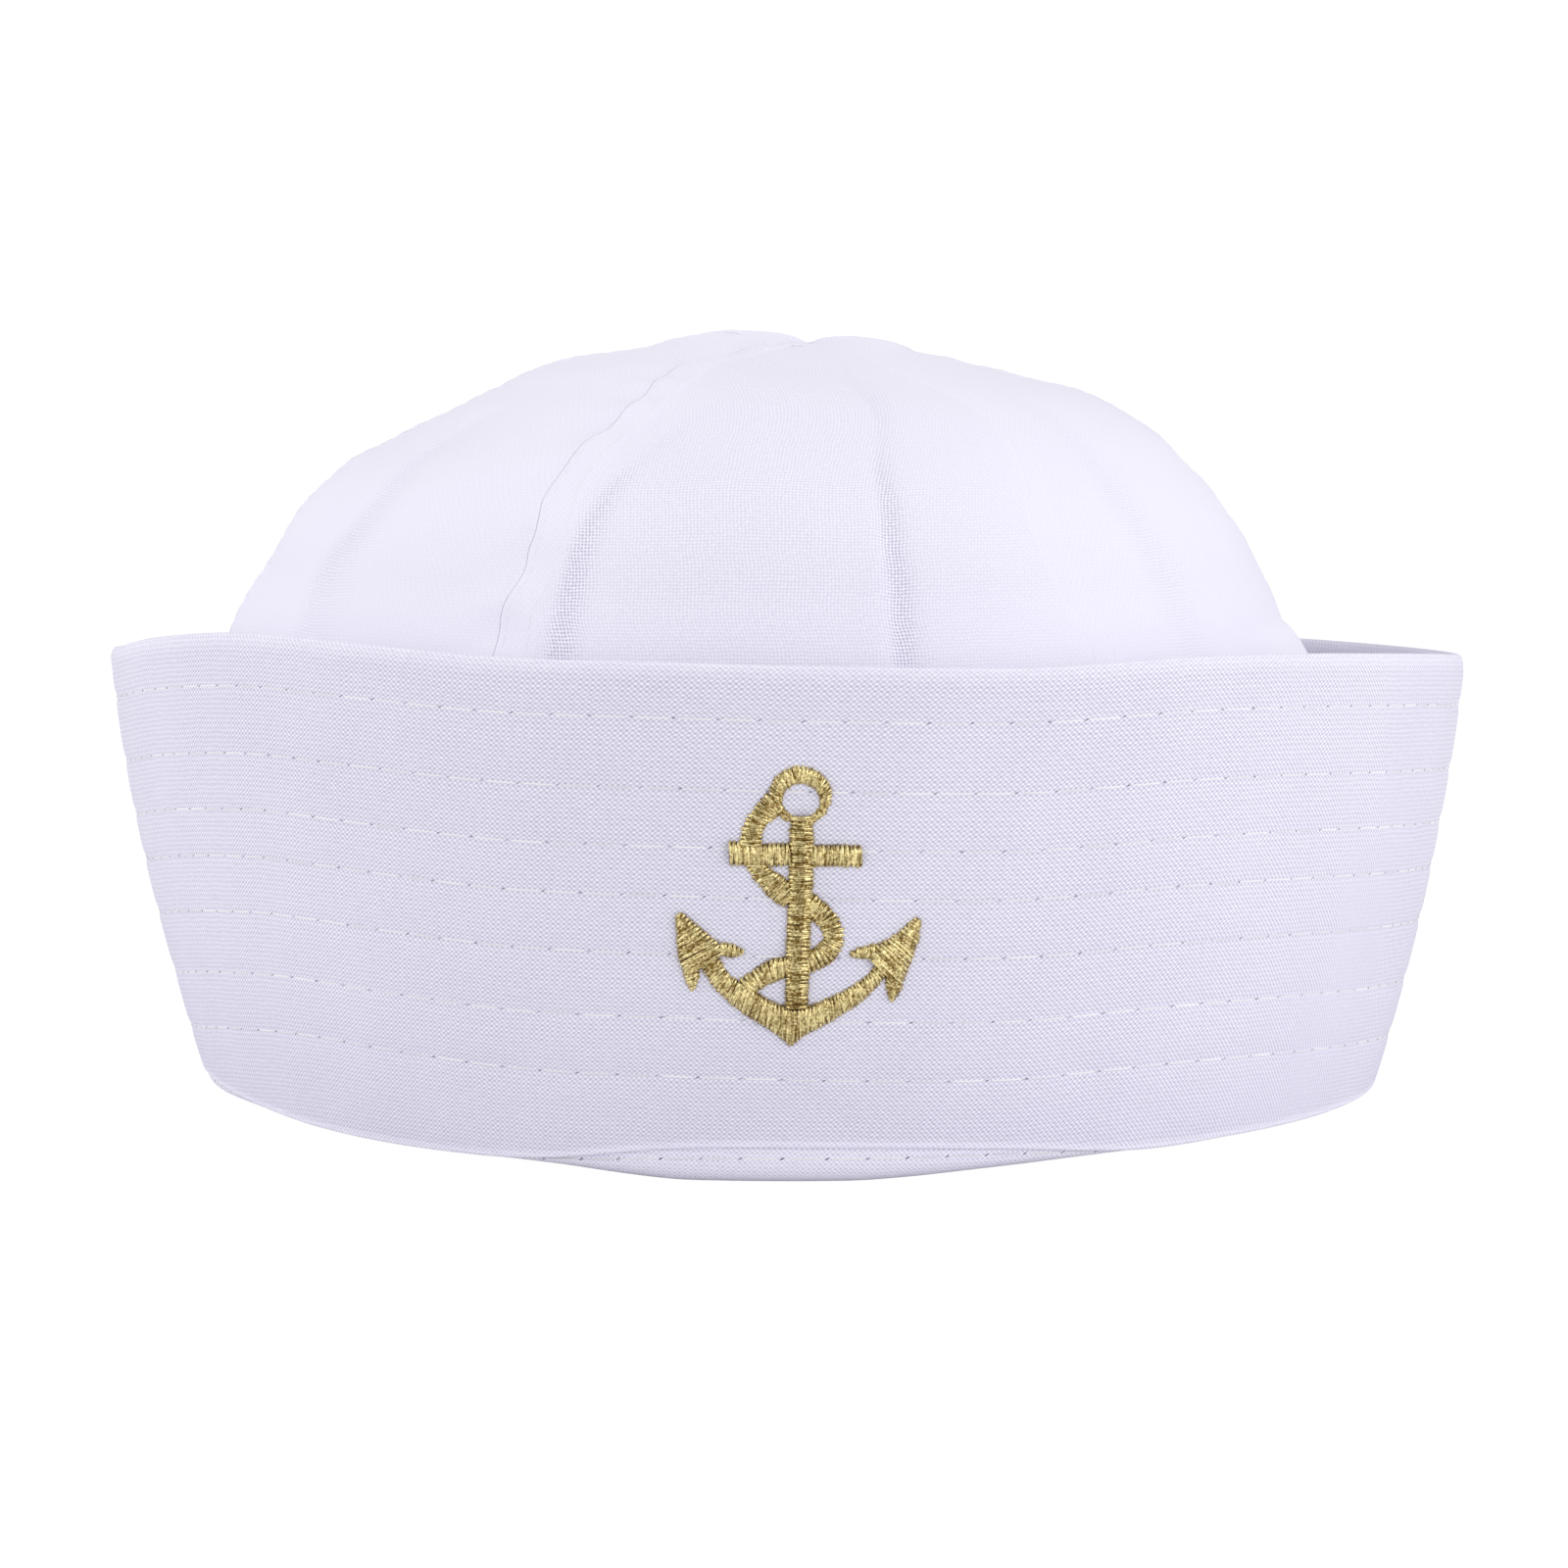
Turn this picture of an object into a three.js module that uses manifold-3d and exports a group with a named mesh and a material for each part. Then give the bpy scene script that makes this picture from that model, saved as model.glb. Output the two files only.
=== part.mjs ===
import * as THREE from "three";
import { mergeVertices } from "three/addons/utils/BufferGeometryUtils.js";
import Module from "manifold-3d";

// A soft round sailor cap: a low crown of six cotton gores and a deep stitched brim, turned up all
// round, with a gold anchor embroidered on its front.
//
// Millimetres, +Z up. The cap stands on z = 0, its front faces -Y, and +X is the viewer's right.
// Azimuth is in degrees round +Z, 0 at the front and 90 at +X.

// Driving sizes
const BRIM_WALL = 2.2;
const CROWN_WALL = 1.2;
const GAP = 0.3;
const TURN_IN = 1.8;
const SEAM_BAND = 6.5;
const SEAM_STEP = 0.6;
const THREAD_HEIGHT = 1.0;

// Half width and half depth of the brim's outer face where it stands, folds and ends
const BASE = { width: 90.8, depth: 97.0 };
const CREASE = { width: 95.7, depth: 100.6 };
const RIM = { width: 109.6, depth: 116.2 };
const BRIM_BOW = 1.9;
// The lower part of the brim has sagged a little towards +X
const BRIM_SAG = 0.3;

// The oval is a little narrower towards the front
const EGG = 0.04;
// The crown's depth for one millimetre of its width
const CROWN_DEPTH = 1.07;

// Heights of the brim round the cap: its rim, the crease above the lower lip, and how far the lower
// edge is lifted off the surface
const BRIM_LINE = [
  { azimuth: -150, rim: 70.0, crease: 3.0, lift: 0 },
  { azimuth: -115, rim: 70.6, crease: 3.6, lift: 0 },
  { azimuth: -82, rim: 73.0, crease: 5.4, lift: 1.2 },
  { azimuth: -65, rim: 76.6, crease: 5.0, lift: 2.0 },
  { azimuth: -50, rim: 78.8, crease: 3.7, lift: 1.7 },
  { azimuth: -36, rim: 78.3, crease: 3.3, lift: 1.5 },
  { azimuth: -24, rim: 77.3, crease: 4.5, lift: 0.9 },
  { azimuth: -10, rim: 77.0, crease: 5.7, lift: 0 },
  { azimuth: 6, rim: 76.4, crease: 5.7, lift: 0 },
  { azimuth: 20, rim: 75.9, crease: 4.7, lift: 1.2 },
  { azimuth: 34, rim: 76.6, crease: 3.8, lift: 1.8 },
  { azimuth: 46, rim: 76.1, crease: 3.7, lift: 1.7 },
  { azimuth: 64, rim: 74.2, crease: 3.2, lift: 1.1 },
  { azimuth: 90, rim: 71.0, crease: 2.6, lift: 0 },
  { azimuth: 120, rim: 69.4, crease: 2.4, lift: 0 },
  { azimuth: 170, rim: 69.2, crease: 3.0, lift: 0 },
];

// The crown's meridian from its lower edge (0) to its top (1): height, half width, and how far the
// middle of that level leans towards +X
const MERIDIAN = [
  { level: 0.0, height: 2.5, width: 90.4, lean: 0 },
  { level: 0.16, height: 26.0, width: 90.4, lean: -1.4 },
  { level: 0.32, height: 51.0, width: 89.2, lean: -3.2 },
  { level: 0.46, height: 74.0, width: 85.8, lean: -4.7 },
  { level: 0.54, height: 85.5, width: 80.2, lean: -3.8 },
  { level: 0.62, height: 95.0, width: 74.2, lean: -3.6 },
  { level: 0.69, height: 102.0, width: 67.4, lean: -2.9 },
  { level: 0.76, height: 108.2, width: 58.0, lean: -0.4 },
  { level: 0.82, height: 113.0, width: 48.8, lean: -0.2 },
  { level: 0.88, height: 117.0, width: 35.5, lean: -2.4 },
  { level: 0.94, height: 119.8, width: 19.0, lean: 1.4 },
  { level: 1.0, height: 121.3, width: 0.9, lean: 3.5 },
];

// The gores, each from its left seam to the next one's, with how many columns and rows of faces it has
const GORES = [
  { name: "gore_front", seam: "frontLeft", columns: 15, rows: 20 },
  { name: "gore_right_front", seam: "frontRight", columns: 13, rows: 20 },
  { name: "gore_right_back", seam: "right", columns: 11, rows: 16 },
  { name: "gore_back", seam: "backRight", columns: 11, rows: 16 },
  { name: "gore_left_back", seam: "backLeft", columns: 11, rows: 16 },
  { name: "gore_left_front", seam: "left", columns: 13, rows: 20 },
];

// Azimuths of the six seams on their way up the crown
const SEAM_LINE = [
  { level: 0.0, frontLeft: -28, frontRight: 37, right: 92, backRight: 152, backLeft: 212, left: 272 },
  { level: 0.47, frontLeft: -27.8, frontRight: 36.8, right: 92, backRight: 152, backLeft: 212, left: 272 },
  { level: 0.61, frontLeft: -27.6, frontRight: 33.5, right: 91, backRight: 152, backLeft: 212, left: 271 },
  { level: 0.71, frontLeft: -27.8, frontRight: 35.2, right: 92, backRight: 152, backLeft: 212, left: 272 },
  { level: 0.85, frontLeft: -29.6, frontRight: 32.8, right: 92, backRight: 152, backLeft: 211, left: 271 },
  { level: 1.0, frontLeft: -31, frontRight: 30, right: 91, backRight: 151, backLeft: 210, left: 270 },
];

// Folds and fulls of the crown. Each runs from one level to another, from azimuth start to azimuth
// end, and pushes the cloth out by rise over a spread to each side of its line, both in millimetres
// and degrees. A negative rise is a valley.
const FOLDS = [
  { what: "valley by the left seam", from: 0.36, to: 0.8, start: -20.6, end: -14.8, rise: -1.2, spread: 4 },
  { what: "valley in the front gore", from: 0.34, to: 0.95, start: 15.6, end: 15.4, rise: -1.8, spread: 4.5 },
  { what: "valley at the left", from: 0.34, to: 0.84, start: -57, end: -66, rise: -1.7, spread: 6 },
  { what: "valley at the right", from: 0.34, to: 0.84, start: 53.5, end: 49.5, rise: -1.4, spread: 4.5 },
  { what: "full of the front gore", from: 0.4, to: 1.0, start: -4, end: -6, rise: 1.2, spread: 14 },
  { what: "full of the left gore", from: 0.4, to: 0.95, start: -42, end: -44, rise: 0.9, spread: 10 },
  { what: "flare over the brim", from: 0.24, to: 0.475, start: 86, end: 84, rise: 4.2, spread: 13 },
  { what: "left lobe of the top", from: 0.86, to: 1.0, start: -75, end: -80, rise: 2.6, spread: 38 },
  { what: "right lobe of the top", from: 0.94, to: 1.0, start: 75, end: 80, rise: 2.3, spread: 30 },
  { what: "full of the back gore", from: 0.4, to: 1.0, start: 182, end: 182, rise: 1.2, spread: 18 },
  { what: "valley at the back left", from: 0.4, to: 0.9, start: 246, end: 244, rise: -1.3, spread: 6 },
  { what: "valley at the back right", from: 0.4, to: 0.9, start: 120, end: 124, rise: -1.3, spread: 6 },
];

// The anchor, in millimetres across and up the brim's slope from its middle, which lies at this
// azimuth and this far down from the rim
const ANCHOR = { azimuth: 0.7, down: 35.4 };
const ANCHOR_RING = { x: 0.7, y: 16.3, outer: 4.7, inner: 2.1 };
// Each run of stitches has its points with the width across them, and how far it stands out
const ANCHOR_RUNS = [
  {
    what: "stock",
    height: 1.0,
    steps: 5,
    points: [
      { x: -9.6, y: 7.5, width: 3.6 },
      { x: 9.3, y: 7.2, width: 3.4 },
    ],
  },
  {
    what: "left arm",
    height: 0.94,
    steps: 7,
    points: [
      { x: -12.6, y: -9.4, width: 3.4 },
      { x: -9.1, y: -12.8, width: 4.3 },
      { x: -5.5, y: -15.5, width: 4.3 },
      { x: 0.3, y: -19.3, width: 4.4 },
    ],
  },
  {
    what: "right arm",
    height: 0.92,
    steps: 7,
    points: [
      { x: -1.8, y: -19.5, width: 4.4 },
      { x: 4.9, y: -15.9, width: 3.9 },
      { x: 8.8, y: -13.7, width: 3.5 },
      { x: 12.2, y: -10.2, width: 3.0 },
    ],
  },
  {
    what: "rope from the ring to the shank",
    height: 0.86,
    steps: 12,
    points: [
      { x: -2.6, y: 15.0, width: 2.6 },
      { x: -5.2, y: 13.3, width: 2.9 },
      { x: -6.5, y: 10.6, width: 3.0 },
      { x: -6.2, y: 7.4, width: 2.9 },
      { x: -4.3, y: 4.7, width: 2.9 },
      { x: 0.2, y: 1.2, width: 2.8 },
    ],
  },
  {
    what: "rope round the shank to the left arm",
    height: 0.84,
    steps: 13,
    points: [
      { x: 0.6, y: 1.3, width: 2.7 },
      { x: 3.9, y: -0.9, width: 3.0 },
      { x: 5.6, y: -4.2, width: 3.1 },
      { x: 3.9, y: -7.5, width: 3.0 },
      { x: -0.4, y: -9.0, width: 2.9 },
      { x: -3.6, y: -10.4, width: 2.8 },
      { x: -8.0, y: -13.0, width: 2.6 },
    ],
  },
  {
    what: "link from the rope to the shank's head",
    height: 0.82,
    steps: 2,
    points: [
      { x: -4.4, y: 14.4, width: 2.0 },
      { x: 0.5, y: 12.0, width: 2.2 },
    ],
  },
  {
    what: "left fluke",
    height: 0.98,
    steps: 5,
    points: [
      { x: -16.7, y: -1.2, width: 0.6 },
      { x: -14.6, y: -4.4, width: 5.0 },
      { x: -12.4, y: -8.0, width: 9.4 },
    ],
  },
  {
    what: "left fluke's barbs",
    height: 0.9,
    steps: 6,
    points: [
      { x: -7.8, y: -6.9, width: 0.9 },
      { x: -10.9, y: -7.7, width: 2.4 },
      { x: -14.0, y: -9.6, width: 2.8 },
      { x: -14.8, y: -13.0, width: 0.9 },
    ],
  },
  {
    what: "right fluke",
    height: 0.98,
    steps: 5,
    points: [
      { x: 17.4, y: -2.4, width: 0.6 },
      { x: 14.9, y: -5.6, width: 5.0 },
      { x: 12.6, y: -9.2, width: 9.4 },
    ],
  },
  {
    what: "right fluke's barbs",
    height: 0.9,
    steps: 6,
    points: [
      { x: 8.2, y: -7.2, width: 0.9 },
      { x: 11.2, y: -8.3, width: 2.4 },
      { x: 13.9, y: -10.9, width: 2.8 },
      { x: 14.1, y: -15.2, width: 0.9 },
    ],
  },
  {
    what: "shank",
    height: 1.12,
    steps: 8,
    points: [
      { x: 0.8, y: 14.2, width: 3.2 },
      { x: 0.0, y: -16.2, width: 3.2 },
    ],
  },
];

const COTTON_CROWN = new THREE.MeshStandardMaterial({ color: 0xebeaf8, roughness: 0.9, metalness: 0 });
const COTTON_BRIM = new THREE.MeshStandardMaterial({ color: 0xdedcee, roughness: 0.9, metalness: 0 });
const GOLD_THREAD = new THREE.MeshStandardMaterial({ color: 0xc9a945, roughness: 0.45, metalness: 0.5 });

const radians = THREE.MathUtils.degToRad;
const lerp = THREE.MathUtils.lerp;
const clamp = THREE.MathUtils.clamp;

// A smooth curve through one column of a table, read at x. A full turn is given for a table that
// closes on itself.
function readTable(rows, key, column, x, turn = 0) {
  const count = rows.length;
  const last = count - 1;
  const start = rows[0][key];
  const wrap = THREE.MathUtils.euclideanModulo;
  const at = turn ? start + wrap(x - start, turn) : clamp(x, start, rows[last][key]);
  const row = (index) => {
    if (turn) {
      const wrapped = wrap(index, count);
      const turns = Math.floor(index / count);
      return { at: rows[wrapped][key] + turns * turn, value: rows[wrapped][column] };
    }
    const inside = clamp(index, 0, last);
    return { at: rows[inside][key] + (index - inside), value: rows[inside][column] };
  };
  let index = 0;
  while (index < last && row(index + 1).at <= at) index += 1;
  if (!turn && index === last) index = last - 1;
  const [before, left, right, after] = [-1, 0, 1, 2].map((step) => row(index + step));
  const span = right.at - left.at;
  const t = (at - left.at) / span;
  const slopeLeft = ((right.value - before.value) / (right.at - before.at)) * span;
  const slopeRight = ((after.value - left.value) / (after.at - left.at)) * span;
  const t2 = t * t;
  const t3 = t2 * t;
  return (
    (2 * t3 - 3 * t2 + 1) * left.value +
    (t3 - 2 * t2 + t) * slopeLeft +
    (3 * t2 - 2 * t3) * right.value +
    (t3 - t2) * slopeRight
  );
}

// A point of the egg-shaped oval with this half width and half depth, its middle moved towards +X
function oval(width, depth, azimuth, middle = 0) {
  const angle = radians(azimuth);
  return {
    x: middle + width * Math.sin(angle) * (1 - EGG * Math.cos(angle)),
    y: -depth * Math.cos(angle),
  };
}

function brimHeights(azimuth) {
  return {
    rim: readTable(BRIM_LINE, "azimuth", "rim", azimuth, 360),
    crease: readTable(BRIM_LINE, "azimuth", "crease", azimuth, 360),
    lift: Math.max(0, readTable(BRIM_LINE, "azimuth", "lift", azimuth, 360)),
  };
}

// The brim's wall at a share of its slope, 0 at the crease and 1 at the rim, moved out by some
// millimetres: the oval's half width and half depth there, its height, and how far its middle is moved
function brimWall({ rim, crease }, share, out) {
  const bow = BRIM_BOW * 4 * share * (1 - share) + out;
  return {
    width: lerp(CREASE.width, RIM.width, share) + bow,
    depth: lerp(CREASE.depth, RIM.depth, share) + bow,
    height: lerp(crease, rim, share),
    middle: BRIM_SAG * (1 - share),
  };
}

// A point of the brim's outer face, moved out by some millimetres
function brimFace(azimuth, share, out) {
  const { width, depth, height, middle } = brimWall(brimHeights(azimuth), share, out);
  const { x, y } = oval(width, depth, azimuth, middle);
  return new THREE.Vector3(x, y, height);
}

// The brim's section at one azimuth, its corners in order from the inner lower edge
function brimSection(azimuth) {
  const heights = brimHeights(azimuth);
  const { rim, crease, lift } = heights;
  const turnTop = lift + BRIM_WALL;
  const turnSoft = 0.6;
  const rimSoft = 0.5;
  const shares = [0.2, 0.4, 0.6, 0.8];
  const base = (out, height) => ({ width: BASE.width + out, depth: BASE.depth + out, height, middle: 0 });
  const wall = (share, out) => brimWall(heights, share, out);
  return [
    base(-TURN_IN, lift),
    base(0.3, lift),
    base(2.6, lerp(lift, crease, 0.36)),
    wall(0, 0),
    ...shares.map((share) => wall(share, 0)),
    { ...wall(1, 0), height: rim - rimSoft },
    { ...wall(1, -BRIM_WALL / 2), height: rim + rimSoft / 2 },
    { ...wall(1, -BRIM_WALL), height: rim - rimSoft },
    ...shares.toReversed().map((share) => wall(share, -BRIM_WALL)),
    { ...wall(0, -BRIM_WALL), height: turnTop + turnSoft },
    { ...wall(0, -BRIM_WALL - turnSoft), height: turnTop },
    base(-TURN_IN, turnTop),
  ];
}

// A lathe gives the ring its faces, and each of its corners is then moved to its place
function makeBrim() {
  const columns = 90;
  const rounds = brimSection(0).map(({ width, height }) => new THREE.Vector2(width, height));
  rounds.push(rounds[0].clone());
  const geometry = new THREE.LatheGeometry(rounds, columns);
  const { position, uv } = geometry.attributes;
  const corners = rounds.length - 1;
  for (let index = 0; index < position.count; index += 1) {
    const azimuth = uv.getX(index) * 360;
    const corner = Math.round(uv.getY(index) * corners) % corners;
    const { width, depth, height, middle } = brimSection(azimuth)[corner];
    const { x, y } = oval(width, depth, azimuth, middle);
    position.setXYZ(index, x, y, height);
  }
  return geometry;
}

// The crown's smooth shape, without folds
function crownShape(azimuth, level) {
  const height = readTable(MERIDIAN, "level", "height", level);
  const width = readTable(MERIDIAN, "level", "width", level);
  const lean = readTable(MERIDIAN, "level", "lean", level);
  const liftFade = clamp(1 - level / 0.3, 0, 1);
  const { x, y } = oval(width, width * CROWN_DEPTH, azimuth);
  return new THREE.Vector3(x + lean, y, height + brimHeights(azimuth).lift * liftFade);
}

function crownNormal(azimuth, level) {
  const step = 0.004;
  const below = crownShape(azimuth, Math.max(0, level - step));
  const above = crownShape(azimuth, Math.min(1, level + step));
  const left = crownShape(azimuth - 1, level);
  const right = crownShape(azimuth + 1, level);
  return right.sub(left).cross(above.sub(below)).normalize();
}

// How far the folds push the crown's cloth out
function crownFolds(azimuth, level) {
  let rise = 0;
  for (const fold of FOLDS) {
    const along = (level - fold.from) / (fold.to - fold.from);
    if (along <= 0 || along >= 1) continue;
    const line = lerp(fold.start, fold.end, along);
    const aside = THREE.MathUtils.euclideanModulo(azimuth - line + 180, 360) - 180;
    const fade = Math.sin(Math.PI * along) ** 0.6;
    rise += fold.rise * fade * Math.exp(-((aside / fold.spread) ** 2));
  }
  return rise;
}

// The cloth's place: out is 0 on its inner face and 1 on its outer one, and step is what it is raised
function crownPoint(azimuth, level, out, step) {
  const rise = crownFolds(azimuth, level) + lerp(-CROWN_WALL, step, out);
  return crownShape(azimuth, level).addScaledVector(crownNormal(azimuth, level), rise);
}

// One gore from its left seam to its right one. The first two columns of faces are the felled seam,
// a band of doubled cloth that stands out from the gore beside it.
function makeGore(leftSeam, rightSeam, columns, rows) {
  const geometry = new THREE.BoxGeometry(1, 1, 1, columns, rows, 1).translate(0.5, 0.5, 0.5);
  const { position } = geometry.attributes;
  const bandEdge = 0.4;
  for (let index = 0; index < position.count; index += 1) {
    const column = Math.round(position.getX(index) * columns);
    const level = position.getY(index);
    const radius = readTable(MERIDIAN, "level", "width", level);
    const half = THREE.MathUtils.radToDeg(GAP / 2 / radius);
    const left = readTable(SEAM_LINE, "level", leftSeam, level) + half;
    const right = readTable(SEAM_LINE, "level", rightSeam, level) - half;
    const span = THREE.MathUtils.euclideanModulo(right - left, 360);
    const mm = 1 / (radians(span) * radius);
    const band = Math.min(SEAM_BAND * mm, 0.35);
    const bandSoft = Math.min(bandEdge * mm, 0.08);
    const plain = (column - 2) / (columns - 2);
    const share = [0, band - bandSoft][column] ?? lerp(band + bandSoft, 1, plain);
    const step = column < 2 ? SEAM_STEP : 0;
    const point = crownPoint(left + span * share, level, position.getZ(index), step);
    position.setXYZ(index, point.x, point.y, point.z);
  }
  return geometry;
}

// A place on the front of the brim, across and up from the anchor's middle and out from the cloth
function onBrim(x, y, out) {
  const middle = oval(RIM.width, RIM.depth, ANCHOR.azimuth);
  const radius = lerp(CREASE.width, RIM.width, 0.5) * (1 - EGG);
  const azimuth = THREE.MathUtils.radToDeg(Math.asin((middle.x * radius / RIM.width + x) / radius));
  const slope = brimFace(azimuth, 1, 0).distanceTo(brimFace(azimuth, 0, 0));
  return brimFace(azimuth, 1 - (ANCHOR.down - y) / slope, out);
}

// A run of stitches as a flat bar that follows a curve through its points
function makeRun({ points, steps, height }) {
  const knots = points.map(({ x, y, width }) => new THREE.Vector3(x, y, width));
  const curve = new THREE.CatmullRomCurve3(knots);
  const geometry = new THREE.BoxGeometry(1, 1, 1, steps, 1, 1).translate(0.5, 0, 0.5);
  const { position } = geometry.attributes;
  for (let index = 0; index < position.count; index += 1) {
    const along = position.getX(index);
    const middle = curve.getPoint(along);
    const ahead = curve.getPoint(Math.min(1, along + 0.01)).sub(curve.getPoint(Math.max(0, along - 0.01)));
    const length = Math.hypot(ahead.x, ahead.y);
    const aside = position.getY(index) * middle.z;
    const x = middle.x - (ahead.y / length) * aside;
    const y = middle.y + (ahead.x / length) * aside;
    const point = onBrim(x, y, lerp(GAP, GAP + height * THREAD_HEIGHT, position.getZ(index)));
    position.setXYZ(index, point.x, point.y, point.z);
  }
  return geometry;
}

function makeAnchorRing() {
  const sides = 20;
  const { inner, outer } = ANCHOR_RING;
  const bottom = GAP;
  const top = GAP + 0.96 * THREAD_HEIGHT;
  const section = [
    new THREE.Vector2(inner, bottom),
    new THREE.Vector2(outer, bottom),
    new THREE.Vector2(outer, top),
    new THREE.Vector2(inner, top),
    new THREE.Vector2(inner, bottom),
  ];
  const geometry = new THREE.LatheGeometry(section, sides);
  const { position } = geometry.attributes;
  for (let index = 0; index < position.count; index += 1) {
    const x = ANCHOR_RING.x + position.getX(index);
    const y = ANCHOR_RING.y - position.getZ(index);
    const point = onBrim(x, y, position.getY(index));
    position.setXYZ(index, point.x, point.y, point.z);
  }
  return geometry;
}

// Shares the geometry's vertices between its faces, so that it is one closed surface
function closed(geometry) {
  geometry.deleteAttribute("normal");
  geometry.deleteAttribute("uv");
  return mergeVertices(geometry, 1e-4);
}

function fuse(wasm, geometries) {
  const solids = geometries.map((geometry) => {
    const { index, attributes } = closed(geometry);
    const vertProperties = new Float32Array(attributes.position.array);
    const triVerts = new Uint32Array(index.array);
    return new wasm.Manifold(new wasm.Mesh({ numProp: 3, vertProperties, triVerts }));
  });
  const { vertProperties, triVerts } = solids.reduce((whole, solid) => whole.add(solid)).getMesh();
  const geometry = new THREE.BufferGeometry();
  geometry.setAttribute("position", new THREE.BufferAttribute(vertProperties, 3));
  geometry.setIndex(new THREE.BufferAttribute(triVerts, 1));
  return geometry;
}

function addPiece(group, name, geometry, material) {
  geometry.computeVertexNormals();
  const mesh = new THREE.Mesh(geometry, material);
  mesh.name = name;
  group.add(mesh);
}

const wasm = await Module();
wasm.setup();

const cap = new THREE.Group();
GORES.forEach(({ name, seam, columns, rows }, index) => {
  const next = GORES[(index + 1) % GORES.length].seam;
  addPiece(cap, name, closed(makeGore(seam, next, columns, rows)), COTTON_CROWN);
});
addPiece(cap, "brim", closed(makeBrim()), COTTON_BRIM);
const anchor = fuse(wasm, [...ANCHOR_RUNS.map(makeRun), makeAnchorRing()]);
addPiece(cap, "anchor_embroidery", anchor, GOLD_THREAD);

export default cap;
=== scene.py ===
import math
import random

import bpy
import numpy as np
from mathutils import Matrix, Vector


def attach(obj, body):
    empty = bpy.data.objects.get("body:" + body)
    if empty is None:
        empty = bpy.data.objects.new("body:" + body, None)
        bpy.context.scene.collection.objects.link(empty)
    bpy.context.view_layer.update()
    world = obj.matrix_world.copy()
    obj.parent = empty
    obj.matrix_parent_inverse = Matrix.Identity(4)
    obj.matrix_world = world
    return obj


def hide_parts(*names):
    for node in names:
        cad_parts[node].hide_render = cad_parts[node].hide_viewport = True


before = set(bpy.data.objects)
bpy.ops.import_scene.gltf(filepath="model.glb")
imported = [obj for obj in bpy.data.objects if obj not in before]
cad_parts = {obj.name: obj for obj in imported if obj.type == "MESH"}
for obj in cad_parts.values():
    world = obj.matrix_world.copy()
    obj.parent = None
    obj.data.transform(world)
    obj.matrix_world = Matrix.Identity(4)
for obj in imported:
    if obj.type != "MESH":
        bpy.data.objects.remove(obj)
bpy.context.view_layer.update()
bpy.ops.object.select_all(action="DESELECT")

# The turned-up brim
# One deep ring of doubled bleached cotton, turned up all round. Its lower edge is rolled into a lip
# and turned in under the crown, and the rim at the top is a soft fold.
MM = 0.001
EGG = 0.04
BASE = dict(width=90.8, depth=97.0)
CREASE = dict(width=95.7, depth=100.6)
RIM = dict(width=109.6, depth=116.2)
BRIM_WALL = 2.2
BRIM_BOW = 1.9
BRIM_SAG = 0.3
TURN_IN = 1.8
FOOT_IN = 0.8
INNER_FOOT = dict(out=1.0, height=0.6)
RIM_ROLL = 2.1
EDGE_ROLL = 0.55
STITCH_ROWS = [8.1, 18.5, 27.2, 34.6, 43.4, 53.2, 62.3]
STITCH_DRAW = 0.26
RIM_FADE = 4
CREASE_FADE = 3
DEGREE_WIDTH = 1.8
BRIM_LINE = dict(
    azimuth=[-150, -115, -82, -65, -50, -36, -24, -10, 6, 20, 34, 46, 64, 90, 120, 170],
    rim=[70.0, 70.6, 73.0, 76.6, 78.8, 78.3, 77.3, 77.0, 76.4, 75.9, 76.6, 76.1, 74.2, 71.0, 69.4, 69.2],
    crease=[3.0, 3.6, 5.4, 4.8, 3.5, 2.9, 3.1, 5.6, 5.8, 4.8, 3.0, 3.1, 3.0, 2.6, 2.4, 3.0],
    lift=[0, 0, 1.8, 3.0, 2.7, 2.2, 1.6, 0, 0, 1.2, 2.1, 2.3, 1.9, 0, 0, 0],
)
LIP = dict(
    share=[0.0, 0.08, 0.2, 0.36, 0.52, 0.68, 0.82, 0.92, 0.98],
    behind=[3.6, 2.7, 1.9, 1.3, 1.05, 0.95, 0.95, 1.0, 0.9],
)
# Low ripples round the brim: how many there are, how deep they are, and how they slant down the slope
BRIM_RIPPLES = [
    dict(waves=35, depth=0.10, slant=0.11, start=0.0),
    dict(waves=13, depth=0.08, slant=-0.05, start=1.0),
]
# Soft creases in the brim: azimuth and millimetres down from the rim at both ends, depth and spread
BRIM_CREASES = [
    dict(start=(0.3, 62.8), end=(5.6, 70.0), depth=0.45, spread=1.1),
    dict(start=(-1.5, 66.0), end=(2.6, 72.0), depth=0.30, spread=1.2),
    dict(start=(-30.0, 4.0), end=(-26.0, 16.0), depth=0.22, spread=2.4),
    dict(start=(24.0, 58.0), end=(33.0, 70.0), depth=0.25, spread=2.6),
]


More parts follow.
